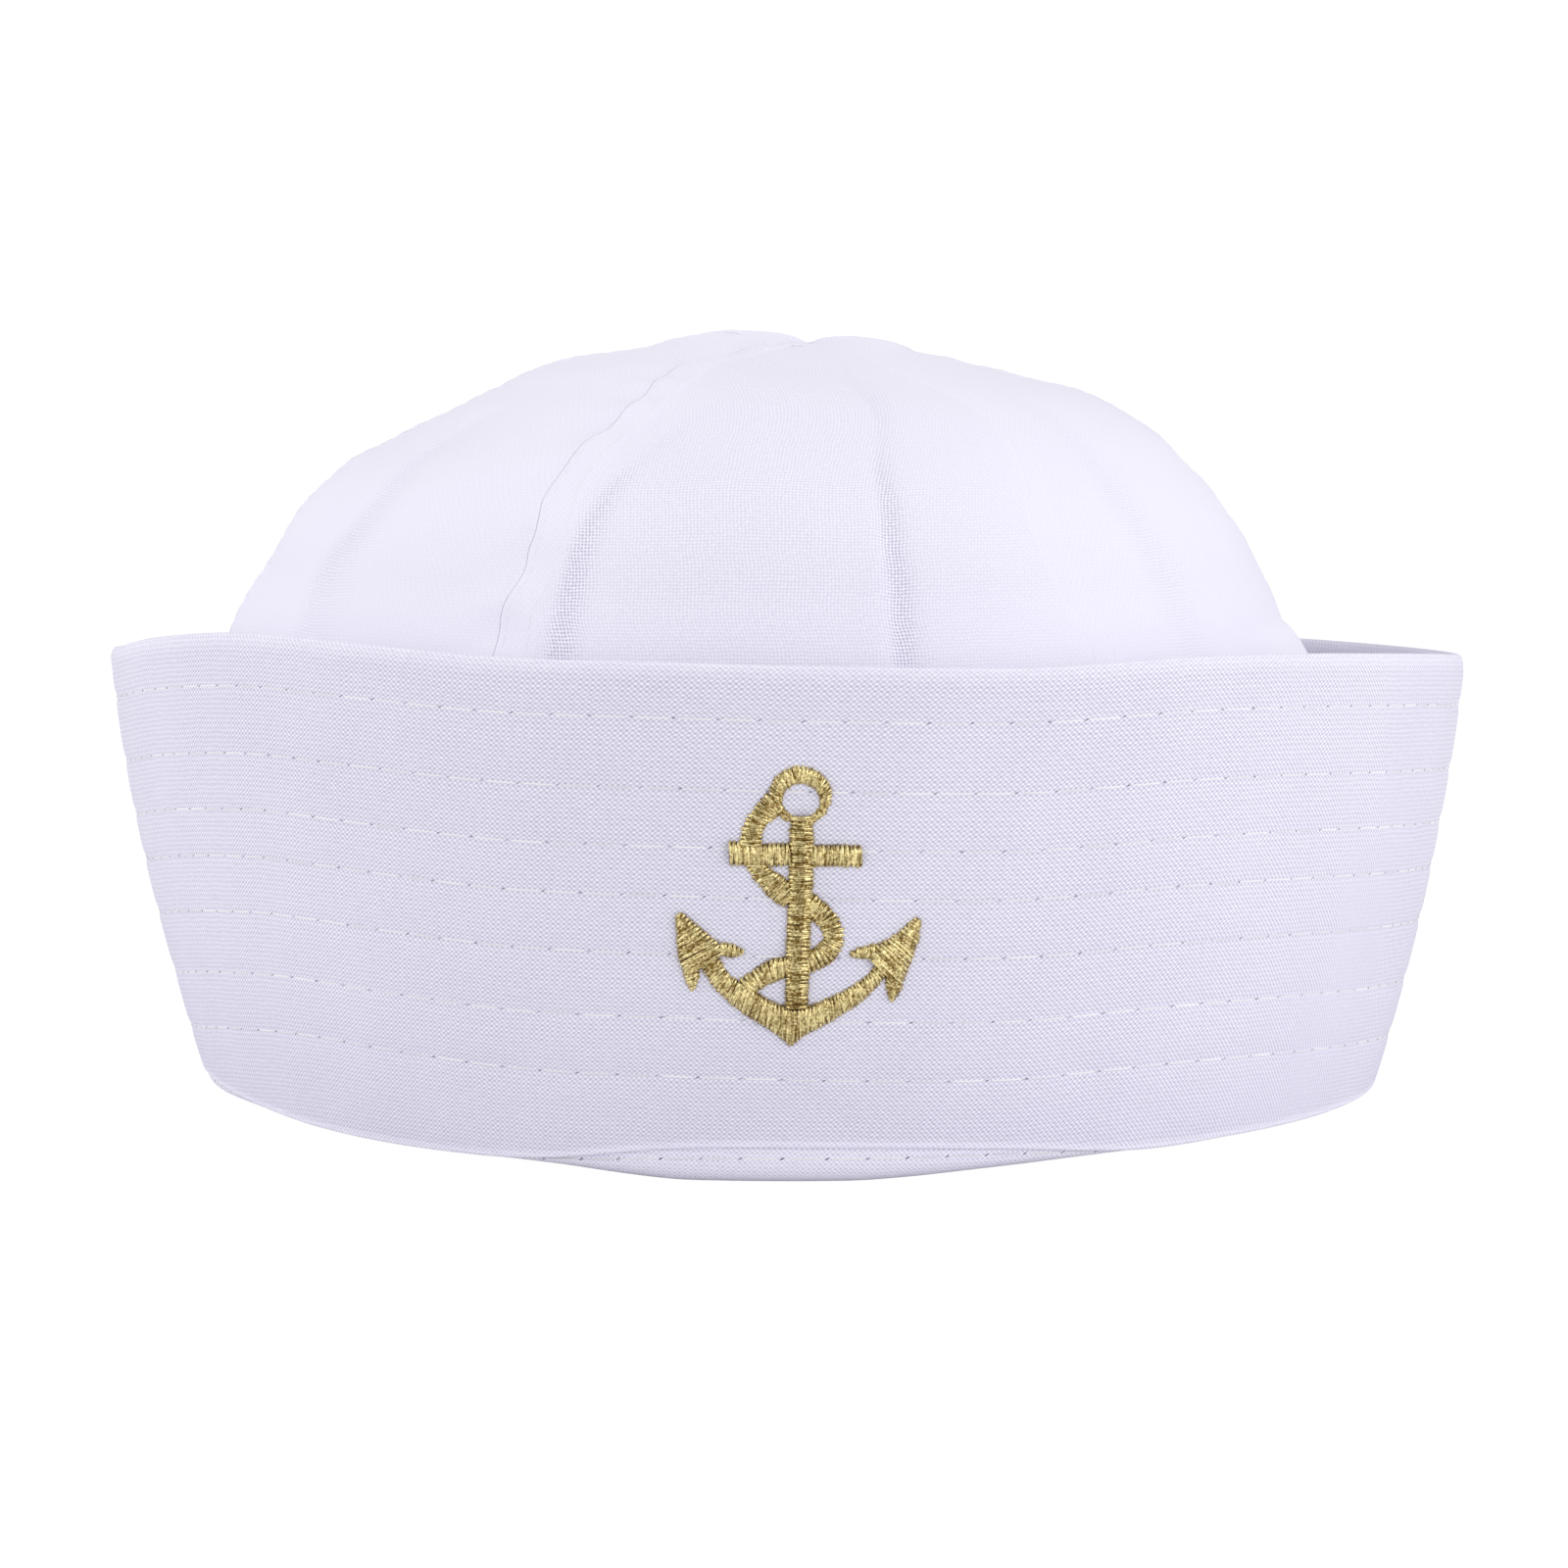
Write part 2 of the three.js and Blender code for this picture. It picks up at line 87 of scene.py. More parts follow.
def read_table(table, key, column, at, turn=0.0):
    """A smooth curve through one column. A full turn is given for a table that closes on itself."""
    keys = np.array(table[key], float)
    values = np.array(table[column], float)
    at = np.asarray(at, float)
    if turn:
        at = keys[0] + np.mod(at - keys[0], turn)
        keys = np.concatenate([keys[-2:] - turn, keys, keys[:2] + turn])
        values = np.concatenate([values[-2:], values, values[:2]])
    else:
        at = np.clip(at, keys[0], keys[-1])
        keys = np.concatenate([[2 * keys[0] - keys[1]], keys, [2 * keys[-1] - keys[-2]]])
        values = np.concatenate([[2 * values[0] - values[1]], values, [2 * values[-1] - values[-2]]])
    spot = np.clip(np.searchsorted(keys, at, side="right") - 1, 1, len(keys) - 3)
    span = keys[spot + 1] - keys[spot]
    t = (at - keys[spot]) / span
    rise_left = (values[spot + 1] - values[spot - 1]) / (keys[spot + 1] - keys[spot - 1]) * span
    rise_right = (values[spot + 2] - values[spot]) / (keys[spot + 2] - keys[spot]) * span
    return (
        (2 * t**3 - 3 * t**2 + 1) * values[spot]
        + (t**3 - 2 * t**2 + t) * rise_left
        + (3 * t**2 - 2 * t**3) * values[spot + 1]
        + (t**3 - t**2) * rise_right
    )


def oval(width, depth, azimuth, middle=0.0):
    """A point of the cap's egg-shaped outline with this half width and half depth."""
    angle = np.radians(azimuth)
    return middle + width * np.sin(angle) * (1 - EGG * np.cos(angle)), -depth * np.cos(angle)


def brim_line(column, azimuth):
    return read_table(BRIM_LINE, "azimuth", column, azimuth, 360.0)


def brim_wall(azimuth, share, out):
    """The brim's wall from its crease (0) to its rim (1), moved out by some millimetres."""
    bow = BRIM_BOW * 4 * share * (1 - share) + out
    width = CREASE["width"] + (RIM["width"] - CREASE["width"]) * share + bow
    depth = CREASE["depth"] + (RIM["depth"] - CREASE["depth"]) * share + bow
    crease = brim_line("crease", azimuth)
    x, y = oval(width, depth, azimuth, BRIM_SAG * (1 - share))
    return np.stack([x, y, crease + (brim_line("rim", azimuth) - crease) * share], -1)


def brim_slope(azimuth):
    """The length of the brim's slope from its rim to its crease."""
    return np.linalg.norm(brim_wall(azimuth, 1.0, 0.0) - brim_wall(azimuth, 0.0, 0.0), axis=-1)


def brim_base(azimuth, out, height):
    x, y = oval(BASE["width"] + out, BASE["depth"] + out, azimuth)
    return np.stack([x, y, height + 0 * azimuth], -1)


def brim_lip(azimuth, share):
    """The lip below the crease, set a little behind it, from its foot (0) to its top (1)."""
    behind = read_table(LIP, "share", "behind", share)
    lift = np.maximum(0, brim_line("lift", azimuth))
    height = lift + (brim_line("crease", azimuth) - lift) * share
    x, y = oval(CREASE["width"] - behind, CREASE["depth"] - behind, azimuth, BRIM_SAG)
    return np.stack(np.broadcast_arrays(x, y, height), -1)


def brim_crease_depth(azimuth, down):
    depth = np.zeros(np.broadcast(azimuth, down).shape)
    for crease in BRIM_CREASES:
        (start, high), (end, low) = crease["start"], crease["end"]
        ahead = np.array([(end - start) * DEGREE_WIDTH, low - high])
        length = np.linalg.norm(ahead)
        across, below = (azimuth - start) * DEGREE_WIDTH, down - high
        along = np.clip((across * ahead[0] + below * ahead[1]) / length**2, 0, 1)
        aside = np.hypot(across - along * ahead[0], below - along * ahead[1]) / crease["spread"]
        depth += crease["depth"] * np.exp(-(aside**2))
    return depth


def brim_cloth(azimuth, down):
    """The stitched outer face, this far down from the rim. Each row of stitches draws it in."""
    slope = brim_slope(azimuth)
    draw_in = sum(STITCH_DRAW * np.exp(-((down - row) ** 2)) for row in STITCH_ROWS)
    turn = np.radians(azimuth)
    ripple = sum(
        wave["depth"] * np.sin(turn * wave["waves"] + down * wave["slant"] + wave["start"])
        for wave in BRIM_RIPPLES
    )
    fade = np.clip(down / RIM_FADE, 0, 1) * np.clip((slope - down) / CREASE_FADE, 0, 1)
    drawn = draw_in + brim_crease_depth(azimuth, down)
    return brim_wall(azimuth, 1 - down / slope, (ripple - drawn) * fade)


def grid_piece(name, places, cloth, closed=False, **marks):
    """A grid of cloth, rows by columns of places in millimetres, with its own measure as its UV map.

    A closed piece is sewn to itself where its places meet. Each of the marks is one more number for
    every place, kept under its name for the material.
    """
    rows, columns = places.shape[:2]
    bpy.ops.mesh.primitive_grid_add(x_subdivisions=columns - 1, y_subdivisions=rows - 1, size=1)
    piece = bpy.context.object
    piece.name = name
    mesh = piece.data
    mesh.vertices.foreach_set("co", (places * MM).astype(np.float32).ravel())
    corners = np.zeros(len(mesh.loops), np.int32)
    mesh.loops.foreach_get("vertex_index", corners)
    uv = mesh.uv_layers[0]
    uv.data.foreach_set("uv", (cloth.reshape(-1, 2)[corners] * MM).astype(np.float32).ravel())
    for mark, values in marks.items():
        kept = mesh.attributes.new(mark, "FLOAT", "POINT")
        kept.data.foreach_set("value", values.astype(np.float32).ravel())
    if closed:
        bpy.ops.object.mode_set(mode="EDIT")
        bpy.ops.mesh.select_all(action="SELECT")
        bpy.ops.mesh.remove_doubles(threshold=1e-6)
        bpy.ops.mesh.normals_make_consistent(inside=False)
        bpy.ops.object.mode_set(mode="OBJECT")
    bpy.ops.object.shade_smooth()
    return piece


def settle(piece, slot, *nodes):
    """The piece rides on the cap's one body and stands for its CAD nodes."""
    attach(piece, "root")
    if nodes:
        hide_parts(*nodes)
    bpy.ops.object.select_all(action="DESELECT")


# The rows of the brim's grid follow its section from the turned-in edge over the lip, the crease, the
# outer face and the rim, and down the inner face again
BRIM_COLUMNS = 450
UNDER_RIM = [2.8, 3.8, 4.9]
BESIDE_STITCHES = [-1.8, -1.1, -0.55, 0, 0.55, 1.1, 1.8]
BETWEEN_STITCHES = [0.38, 0.5, 0.62]
LIP_ROWS = [0.0, 0.04, 0.1, 0.2, 0.32, 0.45, 0.58, 0.7, 0.82, 0.92, 0.98]
EDGE_ROWS = np.linspace(-0.4, 1.0, 6) * math.pi / 2
ABOVE_CREASE = [0.25, 0.8, 1.8]
UNDER_STITCHES = [0.75, 0.5, 0.25]
RIM_ROWS = np.linspace(0, math.pi, 13)
INNER_ROWS = np.linspace(0.95, 0.04, 26)
azimuth = np.linspace(-180, 180, BRIM_COLUMNS + 1)
slope = brim_slope(azimuth)
gaps = zip(STITCH_ROWS, STITCH_ROWS[1:])
fixed_downs = UNDER_RIM + [row + beside for row in STITCH_ROWS for beside in BESIDE_STITCHES]
fixed_downs += [low + (high - low) * part for low, high in gaps for part in BETWEEN_STITCHES]
fixed_downs.sort()
lift = np.maximum(0, brim_line("lift", azimuth))
turn_top = lift + BRIM_WALL

profile = [brim_base(azimuth, -TURN_IN, lift), brim_base(azimuth, -FOOT_IN, lift)]
profile += [brim_lip(azimuth, share) for share in LIP_ROWS]
for swing in EDGE_ROWS:
    edge = brim_wall(azimuth, 0.0, EDGE_ROLL * (math.sin(swing) - 1))
    edge[:, 2] -= EDGE_ROLL * math.cos(swing)
    profile.append(edge)
crease_row = len(profile) - 1
profile += [brim_cloth(azimuth, slope - above) for above in ABOVE_CREASE]
spare = slope - ABOVE_CREASE[-1] - fixed_downs[-1]
profile += [brim_cloth(azimuth, fixed_downs[-1] + spare * part) for part in UNDER_STITCHES]
profile += [brim_cloth(azimuth, down + 0 * azimuth) for down in reversed(fixed_downs)]
half_wall = BRIM_WALL / 2
for swing in RIM_ROWS:
    down = RIM_ROLL * (1 - math.sin(swing))
    profile.append(brim_wall(azimuth, 1 - down / slope, half_wall * (math.cos(swing) - 1)))
rim_row = len(profile) - 1 - len(RIM_ROWS) // 2
profile += [brim_wall(azimuth, share, -BRIM_WALL) for share in INNER_ROWS]
inner_foot = brim_wall(azimuth, 0.0, -BRIM_WALL)
inner_foot[:, 2] = turn_top + INNER_FOOT["height"]
profile += [inner_foot, brim_base(azimuth, INNER_FOOT["out"], turn_top)]
profile += [brim_base(azimuth, -TURN_IN, turn_top), profile[0]]
places = np.stack(profile)
steps = np.linalg.norm(np.diff(places, axis=0), axis=2)
along = np.concatenate([0 * steps[:1], np.cumsum(steps, axis=0)])
rim_along = along[rim_row].mean()
along += rim_along - along[rim_row]
from_crease = along - along[crease_row]
mid_ring = brim_wall(azimuth, 0.5, 0.0)
around = np.concatenate([[0], np.cumsum(np.linalg.norm(np.diff(mid_ring, axis=0), axis=1))])
cloth = np.stack(np.broadcast_arrays(around[None, :], along), -1)
brim = grid_piece("brim_cotton", places, cloth, closed=True, from_crease=from_crease)


class Value:
    """A socket in a finish, so that sums on it read as sums."""

    def __init__(self, finish, socket):
        self.finish = finish
        self.socket = socket

    def maths(self, operation, *terms):
        return self.finish.node("ShaderNodeMath", dict(operation=operation), dict(enumerate(terms)))

    def __add__(self, other):
        return self.maths("ADD", self, other)

    __radd__ = __add__

    def __sub__(self, other):
        return self.maths("SUBTRACT", self, other)

    def __rsub__(self, other):
        return self.maths("SUBTRACT", other, self)

    def __mul__(self, other):
        return self.maths("MULTIPLY", self, other)

    __rmul__ = __mul__

    def cos(self):
        return self.maths("COSINE", self)

    def sin(self):
        return self.maths("SINE", self)

    def size(self):
        return self.maths("ABSOLUTE", self)

    def limited(self):
        return self.maths("MAXIMUM", self.maths("MINIMUM", self, 1.0), 0.0)


class Finish:
    """One material, built node by node."""

    def __init__(self, name):
        self.material = bpy.data.materials.new(name)
        self.material.use_nodes = True
        self.tree = self.material.node_tree
        self.shader = self.tree.nodes["Principled BSDF"]

    def feed(self, socket, value):
        if isinstance(value, Value):
            self.tree.links.new(value.socket, socket)
        else:
            socket.default_value = value

    def node(self, kind, settings, inputs, output=0):
        made = self.tree.nodes.new(kind)
        for name, setting in settings.items():
            setattr(made, name, setting)
        for place, value in inputs.items():
            self.feed(made.inputs[place], value)
        return Value(self, made.outputs[output])

    def blend(self, factor, dark, light):
        sockets = {0: factor, 6: dark, 7: light}
        return self.node("ShaderNodeMix", dict(data_type="RGBA"), sockets, output=2)

    def cloth_measure(self):
        """How far across and along the cloth, in millimetres, from the piece's own UV map."""
        spot = self.node("ShaderNodeUVMap", dict(uv_map="UVMap"), {})
        across = self.node("ShaderNodeSeparateXYZ", {}, {0: spot})
        along = Value(self, across.socket.node.outputs[1])
        return spot, across * (1 / MM), along * (1 / MM)

    def object_spot(self):
        return self.node("ShaderNodeTexCoord", {}, {}, output=3)

    def mark(self, name):
        """The number that the mesh keeps under this name for every place."""
        return self.node("ShaderNodeAttribute", dict(attribute_name=name), {}, output=2)

    def noise(self, spot, scale, detail=2.0):
        return self.node("ShaderNodeTexNoise", {}, {"Vector": spot, "Scale": scale, "Detail": detail})

    def surface(self, **sockets):
        for name, value in sockets.items():
            self.feed(self.shader.inputs[name.replace("_", " ")], value)

    def dent(self, height, depth, strength=1.0):
        sockets = {"Strength": strength, "Distance": depth * MM, "Height": height}
        return self.node("ShaderNodeBump", {}, sockets)


def plain_weave(across, along, warp_pitch, weft_pitch):
    """A plain weave: over and under from -1 to 1, its holes from 0 to 1, and its ribs from -1 to 1."""
    warp = across * (math.pi / warp_pitch)
    weft = along * (math.pi / weft_pitch)
    over = warp.cos() * weft.cos()
    between = warp.sin() * weft.sin()
    return over, between * between, weft.cos()


BRIM_WARP = 0.432
BRIM_WEFT = 0.365
RIM_HIGHLIGHT_REACH = 3.2
CREASE_HIGHLIGHT_REACH = 0.9
BRIM_DARK = (0.40, 0.38, 0.51, 1)
BRIM_BRIGHT = (0.89, 0.875, 0.99, 1)
brim_finish = Finish("brim_cotton")
spot, across, along = brim_finish.cloth_measure()
wander = (brim_finish.noise(spot, 260.0, 2.0) - 0.5) * 0.5
bias = across - along * 0.2 + wander
over, holes, ribs = plain_weave(bias, along - wander, BRIM_WARP, BRIM_WEFT)
slub = brim_finish.noise(spot, 1100.0, 3.0)
cloud = brim_finish.noise(spot, 40.0, 2.0)
# Painted light: past the rim, the brim's inner face is made lighter against the shade that falls in the gap
# between brim and crown.
inside = ((along - rim_along) * 0.5).limited()
# Painted highlight: the rolled rim is made lighter and its weave fainter, as if light catches the top of the
# roll.
rim_painted_highlight = (1 - (along - rim_along).size() * (1 / RIM_HIGHLIGHT_REACH)).limited()
weave = (over * 0.44 + ribs * 0.10 - holes * 0.16) * (1 - rim_painted_highlight * 0.45)
above_crease = brim_finish.mark("from_crease")
# Painted light: the lip below the crease, which faces down into shade, is made lighter.
lip_painted_light = (0 - above_crease).limited()
# Painted highlight: a light line along the fold of the crease.
edge = (1 - above_crease.size() * (1 / CREASE_HIGHLIGHT_REACH)).limited()
mottle = (slub - 0.5) * 0.3 + (cloud - 0.5) * 0.10
tone = 0.60 + weave + mottle + inside * 0.28 + rim_painted_highlight * 0.16 + lip_painted_light * 0.20 + edge * 0.28
brim_finish.surface(
    Base_Color=brim_finish.blend(tone.limited(), BRIM_DARK, BRIM_BRIGHT),
    Roughness=0.85,
    Normal=brim_finish.dent(over, 0.02, 0.4),
    Sheen_Weight=0.15,
)
brim.data.materials.append(brim_finish.material)
settle(brim, "brim_cotton", "brim")

# The six gores of the crown
# Thin plain-woven cotton, each panel a tall curved triangle. They are sewn edge to edge with felled
# seams: the doubled band lies on each gore along its left edge and stands a little proud.
CROWN_DEPTH = 1.07
CROWN_WALL = 1.2
SEAM_BAND = 6.5
SEAM_STEP = dict(front_left=0.24, right=0.1, back_right=0.2, back_left=0.2, left=0.1)
SOFT_SEAM_STEP = 0.02
SEAM_GAP = 0.04
SEAM_DIP = 0.55
BAND_EDGE = 0.9
BAND_MOST = 0.35
BAND_HIDES = 0.9
PUCKER_DEPTH = 1.4
PUCKER_REACH = 5.5
PUCKER_WAVE = 0.48
PUCKER_WANDER = 0.11
PUCKER_SLANT = 0.15
LIFT_FADE = 0.3
TOP_FADE = 25
LEAST_RADIUS = 6
LEVEL_STEP = 0.004
MERIDIAN = dict(
    level=[0, 0.16, 0.32, 0.46, 0.54, 0.62, 0.69, 0.76, 0.82, 0.88, 0.94, 1.0],
    height=[2.5, 26.0, 51.0, 74.0, 85.5, 95.0, 102.0, 108.2, 113.0, 117.0, 119.8, 121.3],
    width=[90.4, 90.4, 89.2, 85.8, 80.2, 74.2, 67.4, 58.0, 48.8, 35.5, 19.0, 0.05],
    lean=[0, -1.4, -3.2, -4.7, -3.8, -3.6, -2.9, -0.4, -0.2, -2.4, 1.4, 3.5],
)
SEAMS = dict(
    front_left=dict(
        level=[
            0, 0.47, 0.49, 0.51, 0.522, 0.54, 0.562, 0.586, 0.604, 0.628,
            0.644, 0.662, 0.693, 0.719, 0.741, 0.759, 0.796, 0.825, 0.85, 1.0,
        ],
        azimuth=[
            -28, -28.0, -28.2, -28.7, -28.7, -28.2, -27.8, -28.0, -27.7, -28.0,
            -28.5, -28.8, -29.0, -29.5, -30.0, -29.6, -29.0, -28.5, -27.4, -26,
        ],
    ),
    front_right=dict(
        level=[0, 0.47, 0.51, 0.55, 0.61, 0.67, 0.71, 0.78, 0.85, 1.0],
        azimuth=[37, 36.8, 35.0, 34.0, 33.5, 34.5, 35.2, 34.8, 32.8, 30],
    ),
    right=dict(level=[0, 0.47, 0.61, 0.71, 1.0], azimuth=[92, 92, 91, 92, 91]),
    back_right=dict(level=[0, 0.5, 1.0], azimuth=[152, 152, 151]),
    back_left=dict(level=[0, 0.71, 0.85, 1.0], azimuth=[212, 212, 211, 210]),
    left=dict(level=[0, 0.47, 0.61, 0.71, 0.85, 1.0], azimuth=[272, 272, 271, 272, 271, 270]),
)
GORES = dict(
    gore_front=("front_left", "front_right"),
    gore_right_front=("front_right", "right"),
    gore_right_back=("right", "back_right"),
    gore_back=("back_right", "back_left"),
    gore_left_back=("back_left", "left"),
    gore_left_front=("left", "front_left"),
)
# Valleys and fulls of the cloth: the line that each follows, how far it pushes the cloth out, over how
# many degrees to its left and right, and how open the weave shows there, which also sets the shade painted
# into its holes
FOLDS = [
    dict(
        level=[0.30, 0.45, 0.53, 0.60, 0.66, 0.72, 0.80],
        azimuth=[-20.3, -20.7, -21.6, -21.3, -20.2, -18.0, -15.5],
        rise=-0.12, spread=(1.1, 2.4), open=0.2,
    ),
    dict(
        level=[0.20, 0.45, 0.53, 0.60, 0.70],
        azimuth=[-20.3, -20.7, -21.6, -21.3, -19.4],
        rise=0, spread=(1.1, 1.9), open=0.75,
    ),
    dict(level=[0.30, 0.90], azimuth=[-15, -10], rise=-0.3, spread=(7, 7), open=0.06),
    dict(level=[0.25, 1.00], azimuth=[3, 3], rise=0, spread=(26, 26), open=0.28),
    dict(
        level=[0.30, 0.47, 0.60, 0.66, 0.75, 0.85, 0.92],
        azimuth=[15.2, 15.0, 14.8, 15.0, 14.3, 16.8, 22.0],
        rise=-0.62, spread=(1.1, 2.4), open=0.16,
    ),
    dict(
        level=[0.20, 0.47, 0.60, 0.66, 0.74],
        azimuth=[15.5, 15.3, 15.1, 15.3, 14.6],
        rise=0, spread=(1.0, 1.4), open=0.68,
    ),
    dict(level=[0.34, 0.92], azimuth=[12.4, 13.6], rise=0.3, spread=(1.8, 1.4), open=0),
    dict(
        level=[0.38, 0.48, 0.53, 0.56, 0.61, 0.655, 0.70, 0.80],
        azimuth=[-56.0, -57.4, -59.8, -60.0, -57.8, -57.4, -59.5, -64.0],
        rise=-1.0, spread=(1.7, 5.5), open=0.3,
    ),
    dict(level=[0.34, 0.84], azimuth=[53.5, 49.5], rise=-0.6, spread=(3, 4), open=0.2),
    dict(level=[0.40, 1.00], azimuth=[-4, -6], rise=1.2, spread=(14, 14), open=0),
    dict(level=[0.40, 0.95], azimuth=[-42, -44], rise=0.9, spread=(10, 10), open=0),
    dict(level=[0.24, 0.475], azimuth=[86, 84], rise=4.2, spread=(13, 13), open=0),
    dict(level=[0.50, 0.80], azimuth=[-90, -88], rise=0.4, spread=(18, 18), open=0),
    dict(level=[0.84, 1.00], azimuth=[-75, -80], rise=1.3, spread=(38, 38), open=0),
    dict(level=[0.93, 1.00], azimuth=[-75, -80], rise=1.7, spread=(38, 38), open=0),
    dict(level=[0.94, 1.00], azimuth=[75, 80], rise=1.7, spread=(30, 30), open=0),
    dict(level=[0.40, 1.00], azimuth=[182, 182], rise=1.2, spread=(18, 18), open=0),
    dict(level=[0.40, 0.90], azimuth=[246, 244], rise=-1.3, spread=(3, 6), open=0.4),
    dict(level=[0.40, 0.90], azimuth=[120, 124], rise=-1.3, spread=(3, 6), open=0.4),
]


def crown_shape(azimuth, level):
    width = read_table(MERIDIAN, "level", "width", level)
    lift = np.maximum(0, brim_line("lift", azimuth)) * np.clip(1 - level / LIFT_FADE, 0, 1)
    height = read_table(MERIDIAN, "level", "height", level) + lift
    x, y = oval(width, width * CROWN_DEPTH, azimuth, read_table(MERIDIAN, "level", "lean", level))
    return np.stack(np.broadcast_arrays(x, y, height), -1)


def crown_normal(azimuth, level):
    above = crown_shape(azimuth, np.minimum(1, level + LEVEL_STEP))
    below = crown_shape(azimuth, np.maximum(0, level - LEVEL_STEP))
    turn = crown_shape(azimuth + 1, level) - crown_shape(azimuth - 1, level)
    normal = np.cross(turn, above - below)
    return normal / np.linalg.norm(normal, axis=-1, keepdims=True)


def crown_length(level):
    """The length of cloth from the crown's foot up to a level, the same in every gore."""
    levels = np.linspace(0, 1, 400)
    steps = np.linalg.norm(np.diff(crown_shape(0, levels), axis=0), axis=1)
    return np.interp(level, levels, np.concatenate([[0], np.cumsum(steps)]))


def crown_folds(azimuth, level):
    """How far the folds push the cloth out, and how open the weave shows in them, which also sets the shade
    painted into its holes.
    """
    rise = np.zeros(np.broadcast(azimuth, level).shape)
    open_weave = np.zeros_like(rise)
    for fold in FOLDS:
        low, high = fold["level"][0], fold["level"][-1]
        along = np.clip((level - low) / (high - low), 0, 1)
        aside = np.mod(azimuth - read_table(fold, "level", "azimuth", level) + 180, 360) - 180
        aside = aside / np.where(aside < 0, *fold["spread"])
        strength = np.sin(np.pi * along) ** 0.6 * np.exp(-(aside**2))
        rise += fold["rise"] * strength
        open_weave += fold["open"] * strength
    return rise, np.clip(open_weave, 0, 1)


def seam_azimuth(seam, level):
    return read_table(SEAMS[seam], "level", "azimuth", level)


def crown_cloth(azimuth, level, out):
    """The crown's outer face, with its folds, moved out by some millimetres."""
    rise, _ = crown_folds(azimuth, level)
    return crown_shape(azimuth, level) + crown_normal(azimuth, level) * (rise + out)[..., None]


def seam_step(seam):
    """How far a seam's doubled band stands proud."""
    return SEAM_STEP.get(seam, SOFT_SEAM_STEP)


def pucker(from_seam, along, seam):
    """The ripples that a drawn-up seam leaves in the cloth beside it. Each seam has its own."""
    phase = len(seam) * 1.7
    wander = 1.3 * np.sin(along * PUCKER_WANDER + phase)
    wave = np.sin(along * PUCKER_WAVE + wander + phase + from_seam * PUCKER_SLANT)
    return PUCKER_DEPTH * seam_step(seam) * wave * np.exp(-((from_seam / PUCKER_REACH) ** 2))


CROWN_WARP = 0.56
CROWN_WEFT = 0.57
IN_BRIM = 66
IN_BRIM_REACH = 20
CROWN_DARK = (0.46, 0.44, 0.57, 1)
CROWN_BRIGHT = (0.89, 0.875, 0.98, 1)
crown_finish = Finish("crown_cotton")
spot, across, along = crown_finish.cloth_measure()
wander = (crown_finish.noise(spot, 220.0, 2.0) - 0.5) * 0.6
over, holes, _ = plain_weave(across + wander, along + wander, CROWN_WARP, CROWN_WEFT)
open_mesh_shade = crown_finish.mark("open_weave")
slub = crown_finish.noise(spot, 1500.0, 3.0)
cloud = crown_finish.noise(spot, 30.0, 2.0)
# Painted shade and light: the weave's holes are darkened as if the shaded inside of the cap shows through
# them, most where the weave is open, and those open valleys are lightened a little against their own
# shading.
shade = holes * (0.06 + open_mesh_shade * 1.35) - open_mesh_shade * 0.06
speck = (slub - 0.5) * (0.10 + open_mesh_shade * 0.9)
# Painted light: the crown is made lighter where it stands inside the brim, against the shade that falls
# between them.
brim_gap_painted_light = (1 - (along - IN_BRIM).size() * (1 / IN_BRIM_REACH)).limited()
tone = (0.80 - shade + over * 0.04 + speck + (cloud - 0.5) * 0.08 + brim_gap_painted_light * 0.17).limited()
crown_finish.surface(
    Base_Color=crown_finish.blend(tone, CROWN_DARK, CROWN_BRIGHT),
    Roughness=0.88,
    Normal=crown_finish.dent(over - holes, 0.02, 0.3),
    Sheen_Weight=0.15,
)

